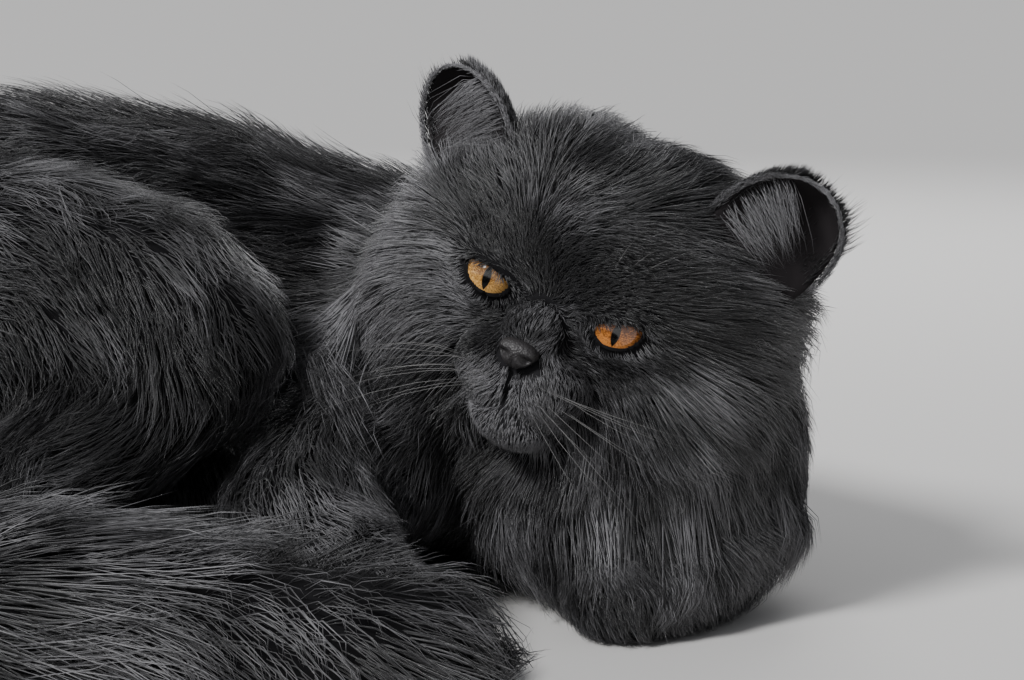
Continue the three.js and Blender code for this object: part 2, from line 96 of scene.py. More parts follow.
# Lengths of the body: stations of x, y, z, half-width, half-height and coat depth, the way the coat lies
stations = {
    "neck": [(20, 60, 86, 26, 28, 18), (18, 74, 76, 32, 34, 20), (14, 86, 64, 38, 42, 20)],
    "chest": [
        (24, 50, 50, 34, 36, 24),
        (12, 92, 56, 47, 44, 16),
        (-28, 135, 57, 53, 47, 17),
        (-72, 157, 61, 55, 51, 18),
    ],
    "belly": [(-72, 157, 61, 55, 51, 18), (-125, 165, 66, 57, 61, 21), (-176, 152, 68, 57, 64, 22)],
    "rump": [
        (-176, 152, 68, 57, 64, 22),
        (-215, 122, 68, 56, 62, 22),
        (-243, 85, 60, 48, 52, 20),
        (-256, 58, 52, 36, 42, 20),
    ],
    "tail_base": [
        (-262, 42, 40, 13, 13, 21),
        (-276, 8, 36, 12, 12, 24),
        (-268, -34, 36, 11, 11, 26),
        (-243, -68, 36, 10, 10, 27),
    ],
    "tail_middle": [
        (-243, -68, 36, 10, 10, 27),
        (-205, -92, 36, 9, 9, 28),
        (-160, -107, 36, 8.5, 8.5, 28),
        (-128, -112, 35, 8, 8, 28),
    ],
    "tail_tip": [
        (-128, -112, 35, 8, 8, 28),
        (-88, -116, 34, 7, 7, 27),
        (-54, -114, 32, 6, 6, 25),
        (-30, -108, 30, 4.5, 4.5, 22),
    ],
    "thigh_right": [
        (-206.3, 94.2, 87.4, 36.6, 34.4, 17),
        (-160, 62, 88, 38, 34, 17),
        (-122, 38, 88, 27, 27, 15),
        (-104.6, 27.5, 83.5, 17.5, 19.3, 13),
    ],
    "hind_foot_right": [
        (-112, 22, 72, 15, 15, 10),
        (-150, 0, 44, 12, 12, 10),
        (-172, -16, 24, 11, 11, 8),
        (-140, -34, 13, 11, 9, 5),
        (-108, -46, 11, 13, 10, 4),
    ],
    "thigh_left": [(-196, 92, 42, 32, 30, 12), (-150, 62, 36, 29, 26, 12), (-112, 52, 32, 18, 18, 10)],
    "hind_foot_left": [
        (-112, 42, 24, 12, 13, 8),
        (-130, 14, 16, 11, 11, 6),
        (-104, -6, 12, 11, 9, 5),
        (-74, -14, 11, 13, 10, 4),
    ],
    "foreleg_right": [
        (-14, 82, 66, 20, 20, 12),
        (-58, 46, 44, 18, 18, 13),
        (-70, 16, 33, 15, 16, 13),
        (-60, -12, 25, 12, 13, 10),
        (-46, -32, 19, 11, 11, 6),
    ],
    "forepaw_right": [(-46, -32, 17, 11, 10, 4), (-36, -44, 13, 13, 11, 3.5), (-29, -50, 11, 13, 10, 3)],
    "foreleg_left": [
        (46, 92, 60, 19, 20, 12),
        (60, 70, 40, 17, 18, 12),
        (56, 44, 26, 13, 14, 10),
        (42, 24, 20, 11, 12, 7),
    ],
    "forepaw_left": [(42, 24, 17, 11, 10, 4), (30, 14, 13, 13, 11, 3.5), (22, 9, 11, 13, 10, 3)],
}
# How much the coat of each length hangs towards the floor
hang = {
    "head": 0.35,
    "neck": 0.35,
    "chest": 0.5,
    "belly": 0.5,
    "rump": 0.45,
    "thigh_right": 0.6,
    "thigh_left": 0.5,
    "elsewhere": 0.1,
}
# The ruff fans out from under the chin, down the front of the chest
ruff = {
    "top": (-6, 34, 78),
    "middle": (24, 20, 28),
    "reach": (72, 36),
    "level": (76, 50),
    "clear": (8, 26),  # how far it starts and is full below the head
    "longer": 0.1,
    "fuller": 4,
}
cheek = {"middle": (46, -12, -4), "reach": (44, 18), "fuller": (14, 3)}  # on the cat's right and left
elbow = {"middle": (78, 66, 26), "reach": (44, 16), "fuller": -7}
beard = {"level": (-26, -40), "front": (4, 18), "across": (34, 16)}  # where hair falls free from the chin


def smoothLine(points, t):  # centripetal spline through the points, t from 0 to 1
    ends = np.vstack([2 * points[0] - points[1], points, 2 * points[-1] - points[-2]])
    k = np.minimum((t * (len(points) - 1)).astype(int), len(points) - 2)
    w = (t * (len(points) - 1) - k)[:, None]
    a, b, c, d = (ends[k + i] for i in range(4))
    ab, bc, cd = (np.sqrt(np.linalg.norm(v, axis=1))[:, None] for v in (b - a, c - b, d - c))
    leave = ((b - a) / ab - (c - a) / (ab + bc) + (c - b) / bc) * bc
    arrive = ((c - b) / bc - (d - b) / (bc + cd) + (d - c) / cd) * bc
    squared = -3 * b + 3 * c - 2 * leave - arrive
    cubed = 2 * b - 2 * c + leave + arrive
    return b + leave * w + squared * w**2 + cubed * w**3


class Length:
    def __init__(self, name, rows):
        table = np.array(rows, float)
        t = np.linspace(0, 1, 33)
        last = len(rows) - 1
        k = np.minimum((t * last).astype(int), last - 1)
        w = t * last - k
        w = (w * w * (3 - 2 * w))[:, None]
        sizes = table[k, 3:] * (1 - w) + table[k + 1, 3:] * w
        self.name = name
        self.middle = smoothLine(table[:, :3], t)
        self.along = unit(np.gradient(self.middle, axis=0))
        upright = abs(self.along[16, 2]) > 0.8
        self.side = unit(np.cross(self.along, [0, -1, 0] if upright else [0, 0, 1]))
        self.up = np.cross(self.side, self.along)
        self.wide, self.tall, self.coat = sizes.T

    def over(self, p):  # height above the flesh, depth of the coat and its lie, nearest to each point
        away = (self.middle**2).sum(1) - 0.5 * self.wide * self.tall - 2 * p @ self.middle.T
        k = away.argmin(1)
        off = p - self.middle[k]
        wide, tall = self.wide[k], self.tall[k]
        offsets = [(off * way[k]).sum(1) for way in (self.side, self.up, self.along)]
        height = overOval(offsets, (wide, tall, np.minimum(wide, tall)))
        return height, self.coat[k], self.along[k]


def overOval(offsets, half):
    share = np.sqrt(sum((o / h) ** 2 for o, h in zip(offsets, half)))
    slope = np.sqrt(sum((o / h**2) ** 2 for o, h in zip(offsets, half)))
    return share * (share - 1) / np.maximum(slope, 1e-9)


def softLeast(values, blend):
    values = np.array(values)
    least = values.min(0)
    return least - blend * np.log(np.exp((least - values) / blend).sum(0))


lengths = [Length(name, rows) for name, rows in stations.items()]

# Lumps of the bare head: middle, half-sizes and whether mirrored, in the head's frame
headLumps = [
    ((13, 6, -9), (30, 34, 38), True),  # cranium
    ((0, 19, 9), (25, 16, 22), False),  # forehead
    ((25, -12, 5), (18, 18, 20), True),  # cheekbone and jowl
    ((0, -20, 15), (20, 14, 17), False),  # jaw
    ((8.5, -20.5, 31), (10.5, 8.5, 9.5), True),  # whisker pad
    ((0, -34, 24.5), (12, 8.5, 11.5), False),  # chin
    ((0, -7, 31), (7.5, 8, 8.5), False),  # short nose bridge
    ((17, 15, 18), (13, 8, 12), True),  # brow
    ((21, 3, 21), (12.4, 11.5, 12.2), True),  # lids over the eyeball
]
headBlend = 2
faceCoat = 1.8
# Rows of direction up the head, where the coat starts to deepen, where it is full, and its depth
headCoat = [
    (90, 22, 62, 13),
    (45, 38, 80, 13),
    (8, 42, 90, 27),
    (-25, 42, 88, 36),
    (-60, 50, 90, 38),
    (-90, 64, 104, 25),
]
napeCoat = (120, 160, 20)
noseOfLie = np.array([0, -10, 24])


def step(x, low, high):  # eases from 0 at low to 1 at high, which may be the smaller of the two
    w = np.clip((x - low) / (high - low), 0, 1)
    return w * w * (3 - 2 * w)


def overHead(q):
    values = []
    for at, size, mirrored in headLumps:
        for side in (1, -1) if mirrored else (1,):
            offsets = (q[:, 0] - side * at[0], q[:, 1] - at[1], q[:, 2] - at[2])
            values.append(overOval(offsets, size))
    return softLeast(values, headBlend)


def headDepth(q):  # depth of the head's coat, by direction from its middle
    up = np.degrees(np.arctan2(q[:, 1], np.abs(q[:, 0])))
    away = np.degrees(np.arccos(np.clip(q[:, 2] / np.maximum(np.linalg.norm(q, axis=1), 1e-6), -1, 1)))
    rows = np.array(headCoat[::-1], float)
    k = np.clip(np.searchsorted(rows[:, 0], up, side="right") - 1, 0, len(rows) - 2)
    w = step(up, rows[k, 0], rows[k + 1, 0])
    start, end, depth = (rows[k, i] * (1 - w) + rows[k + 1, i] * w for i in (1, 2, 3))
    nape = step(away, napeCoat[0], napeCoat[1])
    full = depth * (1 - nape) + napeCoat[2] * nape
    return faceCoat + (full - faceCoat) * step(away, start, end)


bodyBlend = 3
lieBlend = 7
coatInSkin = 0.5  # the skin stands for the flesh and this share of the coat


def coatField(p, withLie=False):  # height above the flesh, coat depth and lie anywhere round the cat
    q = toHead(p)
    heights, coats, lies = [], [], []
    for part in lengths:
        height, coat, along = part.over(p)
        heights.append(height)
        coats.append(coat)
        if withLie:
            lies.append(along + np.array([0, 0, -1]) * hang.get(part.name, hang["elsewhere"]))
    heights.append(overHead(q))
    coats.append(headDepth(q))
    heights, coats = np.array(heights), np.array(coats)
    height = softLeast(heights, bodyBlend)
    shares = np.exp((height - heights) / bodyBlend)
    coat = (shares * coats).sum(0) / shares.sum(0)
    if not withLie:
        return height, coat
    lies.append(lieOnHead(q) @ axes.T + np.array([0, 0, -1]) * hang["head"])
    shares = np.exp((heights.min(0) - heights) / lieBlend)
    lie = (shares[:, :, None] * np.array(lies)).sum(0) / shares.sum(0)[:, None]
    inRuff = ruffShare(p)[:, None]
    return height, coat, lie * (1 - inRuff) + unit(p - np.array(ruff["top"])) * inRuff


def ruffShare(p):  # 1 in the ruff below the chin, 0 away from it
    away = np.linalg.norm(p - np.array(ruff["middle"]), axis=1)
    clear = step(overHead(toHead(p)), *ruff["clear"])
    return step(away, *ruff["reach"]) * step(p[:, 2], *ruff["level"]) * clear


def fullness(p):  # how far the coat stands out beyond its depth: ruff, cheeks and elbow
    q = toHead(p)
    total = ruff["fuller"] * ruffShare(p)
    for side, more in zip((-1, 1), cheek["fuller"]):
        away = np.linalg.norm(q - np.array(cheek["middle"]) * [side, 1, 1], axis=1)
        total = total + more * step(away, *cheek["reach"])
    away = np.linalg.norm(p - np.array(elbow["middle"]), axis=1)
    return total + elbow["fuller"] * step(away, *elbow["reach"])


def hanging(p):  # 1 where the hair falls free from the chin and the jaw
    q = toHead(p)
    inFront = step(q[:, 1], *beard["level"]) * step(q[:, 2], *beard["front"])
    return inFront * step(np.abs(q[:, 0]), *beard["across"])


def lieOnHead(q):  # away from the nose, and round the openings of the eyes
    lie = unit(q - noseOfLie)
    for side in (1, -1):
        share, _, _, z = inOpening(q, side)
        near = (step(share, 2.1, 1.15) * (z > 0) * 0.8)[:, None]
        lie = lie * (1 - near) + unit(q - eyeMiddle(side)) * near
    return lie


def reachOf(p):  # height above the skin's own surface
    height, coat = coatField(p)
    return height - coatInSkin * coat


def slopeOf(p, reach, far=0.6):
    here = reach(p)
    ways = [(reach(p + far * np.eye(3)[i]) - here) / far for i in range(3)]
    return here, np.stack(ways, 1)


# Small tools for Blender's own operators
def clearSelection():
    if bpy.context.object and bpy.context.object.mode != "OBJECT":
        bpy.ops.object.mode_set(mode="OBJECT")
    bpy.ops.object.select_all(action="DESELECT")


def pick(*pieces):
    clearSelection()
    for piece in pieces:
        piece.select_set(True)
    bpy.context.view_layer.objects.active = pieces[0]


def applyModifiers(piece):
    pick(piece)
    for modifier in list(piece.modifiers):
        bpy.ops.object.modifier_apply(modifier=modifier.name)


def vertexPlaces(piece):
    places = np.empty(len(piece.data.vertices) * 3)
    piece.data.vertices.foreach_get("co", places)
    return places.reshape(-1, 3)


def placeVertices(piece, places):
    piece.data.vertices.foreach_set("co", np.ascontiguousarray(places, dtype=np.float64).ravel())
    piece.data.update()


def settle(piece):  # its place goes into its mesh
    pick(piece)
    bpy.ops.object.transform_apply(location=True, rotation=True, scale=True)


def finishPiece(piece, name, material):
    piece.name = name
    piece.data.name = name
    piece.data.materials.clear()
    piece.data.materials.append(material)
    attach(piece, "root")
    return piece


# Shader maths written as Python expressions
class Shade:
    def __init__(self, tree, socket):
        self.tree, self.socket = tree, socket

    def node(self, kind, settings=None, inputs=None, output=0):
        made = self.tree.nodes.new(kind)
        for name, value in (settings or {}).items():
            setattr(made, name, value)
        for name, value in (inputs or {}).items():
            if isinstance(value, Shade):
                self.tree.links.new(value.socket, made.inputs[name])
            else:
                made.inputs[name].default_value = value
        return Shade(self.tree, made.outputs[output])

    def maths(self, operation, *values):
        return self.node("ShaderNodeMath", {"operation": operation}, dict(enumerate(values)))

    def __add__(self, other):
        return self.maths("ADD", self, other)

    def __sub__(self, other):
        return self.maths("SUBTRACT", self, other)

    def __rsub__(self, other):
        return self.maths("SUBTRACT", other, self)

    def __mul__(self, other):
        return self.maths("MULTIPLY", self, other)

    def __truediv__(self, other):
        return self.maths("DIVIDE", self, other)

    def __pow__(self, other):
        return self.maths("POWER", self, other)

    __radd__ = __add__
    __rmul__ = __mul__

    def ease(self, low, high):  # 0 below low, 1 above high, smooth between
        inputs = {"Value": self, "From Min": low, "From Max": high}
        return self.node("ShaderNodeMapRange", {"interpolation_type": "SMOOTHSTEP"}, inputs)

    def vectorMaths(self, operation, other):
        return self.node("ShaderNodeVectorMath", {"operation": operation}, {0: self, 1: tuple(other)}, 1)

    def distanceTo(self, point):
        return self.vectorMaths("DISTANCE", point)

    def along(self, way):
        return self.vectorMaths("DOT_PRODUCT", way)

    def noise(self, scale, detail):
        return self.node("ShaderNodeTexNoise", None, {"Vector": self, "Scale": scale, "Detail": detail})

    def blend(self, *colours):  # mixes two colours by this value
        inputs = {6 + i: c if isinstance(c, Shade) else (*c, 1) for i, c in enumerate(colours)}
        return self.node("ShaderNodeMix", {"data_type": "RGBA"}, {0: self, **inputs}, 2)


def newMaterial(name, values):
    material = bpy.data.materials.new(name)
    material.use_nodes = True
    shader = material.node_tree.nodes["Principled BSDF"]
    for socket, value in values.items():
        shader.inputs[socket].default_value = value
    place = Shade(material.node_tree, None).node("ShaderNodeTexCoord", None, None, 3)
    return material, shader, place


def feed(shader, socket, shade):
    shade.tree.links.new(shade.socket, shader.inputs[socket])


# Colours of the coat, with its painted light and painted shade, the same on skin and fur
coatLook = {
    "deep": (0.006, 0.0058, 0.0066),
    "charcoal": (0.025, 0.0243, 0.0268),
    "smoke": (0.19, 0.187, 0.197),
    "markingsAndPaintedLight": 0.62,  # how much each of these lightens the coat
    "tone": 1.05,
    "strands": 0.7,
    "darker": 0.7,
    "toCharcoal": (0, 0.55),
    "toSmoke": (0.4, 1.1),
    "roughness": 0.46,
    "specular": 0.4,
    "sheen": 0.2,
}
# Soft clouds of lighter coat: scale, detail, range and strength
clouds = [(15.0, 3.0, (0.36, 0.68), 0.6), (60.0, 2.0, (0.3, 0.7), 0.35)]
# Lighter places on the head, pale hair on chin and pads and painted light on the right cheek: where, from
# and to which distance in metres, and how strong
paleHairAndLitSpots = [
    ((-4, -39, 36), (0.012, 0.026), 2.4),  # chin
    ((-60, -4, 12), (0.02, 0.056), 1.0),  # right cheek: painted light, where the key lamp falls
    ((0, -20, 40), (0.006, 0.016), 0.35),  # between the whisker pads
]
# Painted shade over the brow's furrows and between the eyes: levels it starts and ends, how far in front,
# strength
paintedBrowShade = {"from": (2, 9), "to": (20, 32), "front": (8, 20), "strength": 0.8}


def atHead(x, y, z):  # a place on the head, in the frame's metres
    return tuple(toFrame(outOfHead(np.array([[x, y, z]], float)))[0])


def markingsAndPaintedLight(place):  # how light the coat is at a place: pale hair on the chin and pads, painted light on the right cheek, painted shade over the brow
    light = sum(place.noise(scale, detail).ease(*span) * share for scale, detail, span, share in clouds)
    # pale hair on the chin and between the pads, painted light on the right cheek
    for at, span, strength in paleHairAndLitSpots:
        light = light + (1 - place.distanceTo(atHead(*at)).ease(*span)) * strength
    middle = toFrame(headOrigin)
    level, front = ((place.along(axes[:, i]) - float(middle @ axes[:, i])) * 1000 for i in (1, 2))
    # painted shade over the brow
    brow = level.ease(*paintedBrowShade["from"]) * (1 - level.ease(*paintedBrowShade["to"])) * front.ease(*paintedBrowShade["front"])
    return light - brow * paintedBrowShade["strength"]


def coatMaterial():
    values = {
        "Roughness": coatLook["roughness"],
        "Specular IOR Level": coatLook["specular"],
        "Sheen Weight": coatLook["sheen"],
        "Sheen Roughness": 0.4,
    }
    material, shader, place = newMaterial("catCoat", values)
    tone = place.node("ShaderNodeAttribute", {"attribute_name": "tone"}, None, 2)
    strand = place.node("ShaderNodeAttribute", {"attribute_name": "strand"}, None, 1)
    light = markingsAndPaintedLight(place) * coatLook["markingsAndPaintedLight"] + tone * coatLook["tone"]
    light = light + strand.noise(1.0, 1.0) * coatLook["strands"] - coatLook["darker"]
    colour = light.ease(*coatLook["toCharcoal"]).blend(coatLook["deep"], coatLook["charcoal"])
    feed(shader, "Base Color", light.ease(*coatLook["toSmoke"]).blend(colour, coatLook["smoke"]))
    return material


def skinMaterial():
    material, shader, place = newMaterial("catUndercoat", {"Roughness": 0.8, "Specular IOR Level": 0.1})
    # the skin carries the same markings, with the painted cheek light and painted brow shade
    light = markingsAndPaintedLight(place) * 0.3
    feed(shader, "Base Color", light.ease(0, 0.9).blend(coatLook["deep"], coatLook["charcoal"]))
    return material


# Skin: round forms along every length and the head, fused and drawn to the smooth surface
skinLook = {
    "voxel": 0.0032,
    "formsPerLength": 9,
    "draws": 4,
    "faceMiddle": (0, -8, 30),
    "faceReach": (0.052, 0.052 * 0.78),  # metres round it in which the mesh is made finer, twice
    "floor": 0.0004,
}
eyeOpening = {"wide": 15.6, "over": 3.0, "under": 5.4, "slant": 15, "outlook": 12}
mouthLine = {"start": -17, "fork": -27, "corner": (16, -35.5), "deep": 2.2, "wide": 1.4}
noseLeather = {"wide": 14, "tall": 8.6, "deep": 9, "down": -12.3, "front": 45}


def addForm(middle, half, axesOfForm=None):
    bpy.ops.mesh.primitive_ico_sphere_add(subdivisions=3, radius=1, location=(0, 0, 0))
    form = bpy.context.object
    turn = Matrix.Identity(3) if axesOfForm is None else Matrix(axesOfForm.T.tolist())
    sized = turn @ Matrix.Diagonal([float(h) for h in half])
    form.data.transform(Matrix.Translation([float(m) for m in middle]) @ sized.to_4x4())
    return form


def skinForms():
    forms = []
    for part in lengths:
        for k in np.linspace(0, 32, skinLook["formsPerLength"]).astype(int):
            grown = part.coat[k] * coatInSkin
            half = np.array([part.wide[k], part.tall[k], min(part.wide[k], part.tall[k])]) + grown
            ways = np.array([part.side[k], part.up[k], part.along[k]])
            forms.append(addForm(toFrame(part.middle[k]), half * mm, ways))
    for at, size, mirrored in headLumps:
        for side in (1, -1) if mirrored else (1,):
            middle = outOfHead(np.array([side * at[0], at[1], at[2]], float))
            forms.append(addForm(toFrame(middle), (np.array(size) + 1) * mm, axes.T))
    return forms


def eyeMiddle(side):
    return np.array([side * eyeball["apart"] / 2, eyeball["up"], eyeball["forward"]])


def inOpening(q, side):  # place in an eye's opening: 1 on its edge, less inside
    turn = math.radians(eyeOpening["outlook"])
    off = q - eyeMiddle(side)
    x = off[:, 0] * math.cos(turn) - off[:, 2] * math.sin(turn)
    z = off[:, 0] * math.sin(turn) + off[:, 2] * math.cos(turn)
    slant = math.radians(side * eyeOpening["slant"])
    a = x * math.cos(slant) + off[:, 1] * math.sin(slant)
    b = -x * math.sin(slant) + off[:, 1] * math.cos(slant)
    half = np.where(b > 0, eyeOpening["over"], eyeOpening["under"])
    share = np.hypot(a / (eyeOpening["wide"] / 2), b / half)
    return share, a, b, z


def fromOpening(a, b, z, side):  # back from an opening's own frame to the head's
    slant = math.radians(side * eyeOpening["slant"])
    turn = math.radians(eyeOpening["outlook"])
    x = a * math.cos(slant) - b * math.sin(slant)
    y = a * math.sin(slant) + b * math.cos(slant)
    across = x * math.cos(turn) + z * math.sin(turn)
    forward = -x * math.sin(turn) + z * math.cos(turn)
    return np.stack([across, y, forward], 1) + eyeMiddle(side)


def mouthDistance(q):  # distance across the face to the line of the mouth
    corner = mouthLine["corner"]
    fork = mouthLine["fork"]
    bow = [(0, fork), (0.3 * corner[0], fork - 3.4), (0.62 * corner[0], fork - 5), corner]
    line = [(0, mouthLine["start"]), (0, fork)] + bow[1:]
    across = np.stack([np.abs(q[:, 0]), q[:, 1]], 1)
    nearest = np.full(len(q), 1e9)
    for a, b in zip(line[:-1], line[1:]):
        a, b = np.array(a, float), np.array(b, float)
        t = np.clip(((across - a) @ (b - a)) / ((b - a) @ (b - a)), 0, 1)
        nearest = np.minimum(nearest, np.linalg.norm(across - a - t[:, None] * (b - a), axis=1))
    return np.where(q[:, 2] > 12, nearest, 1e9)


def openLids(p):  # presses the lids' openings back behind the eyeballs
    q = toHead(p)
    for side in (1, -1):
        share, a, b, z = inOpening(q, side)
        front = (z > 4) & (share < 1.25)
        rim = front & (share > 0.82)
        inside = front & (share <= 0.82)
        scale = np.where(rim, 1 / np.maximum(share, 0.1), 1)
        ball = np.sqrt(np.maximum((eyeball["radius"] - 1.4) ** 2 - a**2 - b**2, 1))
        moved = fromOpening(a * scale, b * scale, np.where(inside, ball, z), side)
        q = np.where((rim | inside)[:, None], moved, q)
    return outOfHead(q)


def makeSkin():
    clearSelection()
    forms = skinForms()
    pick(*forms)
    bpy.ops.object.join()
    skin = bpy.context.object
    remesh = skin.modifiers.new("fuse", "REMESH")
    remesh.mode = "VOXEL"
    remesh.voxel_size = skinLook["voxel"]
    applyModifiers(skin)
    drawAndRelax(skin)
    refineFace(skin)
    places = vertexPlaces(skin) / mm - shift
    q = toHead(places)
    groove = mouthLine["deep"] * np.exp(-((mouthDistance(q) / mouthLine["wide"]) ** 2))
    slope = unit(slopeOf(places, reachOf)[1])
    places = openLids(places - slope * groove[:, None])
    placeVertices(skin, toFrame(places))
    pick(skin)
    bpy.ops.object.shade_smooth()
    unwrapSkin(skin)
    print("skin made,", len(skin.data.polygons), "faces")
    return skin


def drawOnto(skin, most):  # moves the skin onto the smooth surface, by the most millimetres at a time
    places = vertexPlaces(skin) / mm - shift
    here, slope = slopeOf(places, reachOf)
    steep = np.maximum((slope**2).sum(1), 0.25)
    places = places - slope * np.clip(here / steep, -most, most)[:, None]
    places[:, 2] = np.maximum(places[:, 2], skinLook["floor"] / mm)
    placeVertices(skin, toFrame(places))


def drawAndRelax(skin):
    for turn in range(skinLook["draws"]):
        drawOnto(skin, 2.5)
        if turn < skinLook["draws"] - 1:
            relax = skin.modifiers.new("relax", "SMOOTH")
            relax.factor = 0.5
            relax.iterations = 2
            applyModifiers(skin)


def refineFace(skin):
    for reach in skinLook["faceReach"]:
        middle = Vector(atHead(*skinLook["faceMiddle"]))
        pick(skin)
        bpy.ops.object.mode_set(mode="EDIT")
        bpy.ops.mesh.select_all(action="DESELECT")
        bpy.ops.object.mode_set(mode="OBJECT")
        near = np.array([(face.center - middle).length < reach for face in skin.data.polygons])
        skin.data.polygons.foreach_set("select", near)
        bpy.ops.object.mode_set(mode="EDIT")
        bpy.ops.mesh.select_mode(type="FACE")
        bpy.ops.mesh.subdivide(number_cuts=1, smoothness=0)
        bpy.ops.object.mode_set(mode="OBJECT")
        drawOnto(skin, 2)


def unwrapSkin(skin):
    pick(skin)
    skin.data.uv_layers.new(name="OFBake")
    bpy.ops.object.mode_set(mode="EDIT")
    bpy.ops.mesh.select_all(action="SELECT")
    bpy.ops.uv.smart_project(angle_limit=math.radians(66), island_margin=0.004)
    bpy.ops.object.mode_set(mode="OBJECT")


# Coat: closed tapered tufts, rooted on the skin and combed along the lie
coatLooks = {
    "tufts": 95000,
    "quickTufts": 24000,
    "points": 5,
    "sink": 0.8,  # millimetres below the skin
    "length": (1.7, 2.6, 4.6, 64),  # per depth of coat, added, least and most
    "spread": (0.6, 1.16),
    "lift": (0.66, 1.12),
    "strays": 0.15,
    "strayLift": (0.06, 0.32),
    "liftWave": (0.12, 26),  # strength, and millimetres from one wave to the next
    "swirl": 0.24,
    "bend": 0.05,
    "bendWave": (0.12, 22),
    "shorter": {"eyes": 0.4, "mouth": 0.5, "chin": 0.55},
    "width": (0.24, 0.0062),  # of the shortest, and added for each millimetre of length
    "clumps": ((75, 0.2, 0.6), (9, 0.2, 0.75)),  # tufts in a clump, least and most pull
    "patch": 0.003,
}
towardsViewer = np.array([0, -0.97, 0.24])


def skinTriangles(skin):
    skin.data.calc_loop_triangles()
    count = len(skin.data.loop_triangles)
    corners = np.empty(count * 3, int)
    loops = np.empty(count * 3, int)
    skin.data.loop_triangles.foreach_get("vertices", corners)
    skin.data.loop_triangles.foreach_get("loops", loops)
    uv = np.empty(len(skin.data.loops) * 2)
    skin.data.uv_layers["OFBake"].data.foreach_get("uv", uv)
    normals = np.empty(len(skin.data.vertices) * 3)
    skin.data.vertices.foreach_get("normal", normals)
    places = vertexPlaces(skin) / mm - shift
    corners = corners.reshape(-1, 3)
    return places[corners], normals.reshape(-1, 3)[corners], uv.reshape(-1, 2)[loops.reshape(-1, 3)]


def tuftDensity(p):
    q = toHead(p)
    onHead = step(overHead(q), 60, 20)
    depth = coatField(p)[1]
    low = 0.25 + 0.75 * step(p[:, 2], 1, 9)
    return (0.12 + 0.45 * onHead + 1.5 * np.exp(-depth / 4.5)) * low


def seenShare(p, normals):  # the sides turned away from the viewer have fewer, wider tufts
    turned = 0.3 + 0.7 * step(normals @ towardsViewer, -0.45, 0.3)
    return turned * (0.6 + 0.4 * step(p[:, 0], -225, -185))


def eyeShare(q):  # place in the nearer eye's opening
    return np.minimum(inOpening(q, 1)[0], inOpening(q, -1)[0])


def bare(q):  # places with no coat: the openings of the eyes, the nose leather and the mouth's line
    onFace = q[:, 2] > 15
    across = q[:, 0] / (noseLeather["wide"] * 0.5)
    level = (q[:, 1] - noseLeather["down"]) / (noseLeather["tall"] * 0.54)
    return onFace & ((eyeShare(q) < 1.03) | (np.hypot(across, level) < 1) | (mouthDistance(q) < 1.0))


def sowRoots(skin, count):
    places, normals, uv = skinTriangles(skin)
    middles = places.mean(1)
    edges = places[:, 1:] - places[:, :1]
    area = 0.5 * np.linalg.norm(np.cross(edges[:, 0], edges[:, 1]), axis=1)
    seen = seenShare(middles, unit(normals.mean(1)))
    weight = area * tuftDensity(middles) * seen
    weight[bare(toHead(middles))] = 0
    weight[middles[:, 2] < 1.2] = 0
    chosen = dice.choice(len(weight), size=count, p=weight / weight.sum())
    mix = dice.dirichlet((1, 1, 1), count)[:, :, None]
    roots = (places[chosen] * mix).sum(1)
    return roots, unit((normals[chosen] * mix).sum(1)), (uv[chosen] * mix).sum(1), seen[chosen]


def turnRound(v, axis, angle):
    cos, sin = np.cos(angle)[:, None], np.sin(angle)[:, None]
    return v * cos + np.cross(axis, v) * sin + axis * (axis * v).sum(1, keepdims=True) * (1 - cos)


def slowNoise(p, size, seed):  # smooth values round 0 that change over about the given size
    waves = np.random.default_rng(seed)
    total = np.zeros(len(p))
    for _ in range(6):
        way = unit(waves.normal(size=3))
        total += np.sin(p @ way * (2 * np.pi / (size * waves.uniform(0.7, 1.6))) + waves.uniform(0, 6.3))
    return total / 3


def combTufts(roots, normals):
    count = len(roots)
    depth = coatField(roots)[1]
    q = toHead(roots)
    perDepth, added, least, most = coatLooks["length"]
    length = np.clip(depth * perDepth + added, least, most) * dice.uniform(*coatLooks["spread"], count)
    length = length * (1 + ruff["longer"] * ruffShare(roots))
    shorter = coatLooks["shorter"]
    length = length * (1 - shorter["eyes"] * step(eyeShare(q), 2, 1.1) * (q[:, 2] > 10))
    length = length * (1 - shorter["mouth"] * step(mouthDistance(q), 5, 1))
    strength, size = coatLooks["liftWave"]
    lift = dice.uniform(*coatLooks["lift"], count) + strength * slowNoise(roots, size, 4)
    stray = dice.random(count) < coatLooks["strays"]
    lift = lift + stray * dice.uniform(*coatLooks["strayLift"], count)
    angle = coatLooks["swirl"] * (slowNoise(roots, 45, 1) + 0.8 * slowNoise(roots, 16, 2))
    angle = angle + dice.normal(0, 0.08, count)
    strength, size = coatLooks["bendWave"]
    bend = dice.normal(0, coatLooks["bend"], count) + strength * slowNoise(roots, size, 3)
    more = fullness(roots)
    length = length + 1.2 * more
    free = hanging(roots)
    length = length * (1 - shorter["chin"] * free)
    sideways, forward = dice.normal(0, 0.16, count), dice.normal(-0.2, 0.12, count)
    down = np.stack([sideways, forward, np.full(count, -1.0)], 1)
    steps = coatLooks["points"] - 1
    path = [roots - normals * coatLooks["sink"]]
    p = roots
    for i in range(1, steps + 1):
        _, _, lie = coatField(p, True)
        out = unit(slopeOf(p, lambda at: coatField(at)[0])[1])
        lie = unit(lie - out * (lie * out).sum(1, keepdims=True))
        lie = turnRound(lie, out, angle + bend * i)
        fall = (free * (i - 1) / steps)[:, None]
        p = p + unit(lie * (1 - fall) + down * fall) * (length / steps)[:, None]
        share = (i / steps) ** 0.75
        height, depth = coatField(p)
        wanted = depth * coatInSkin * (1 - share) + (depth + more) * lift * share + 0.3
        p = p + out * np.clip(wanted - height, -5 * (1 - free), 5)[:, None]
        p[:, 2] = np.maximum(p[:, 2], 0.5 + 1.2 * dice.random(count))
        path.append(p)
    return np.stack(path, 1), length


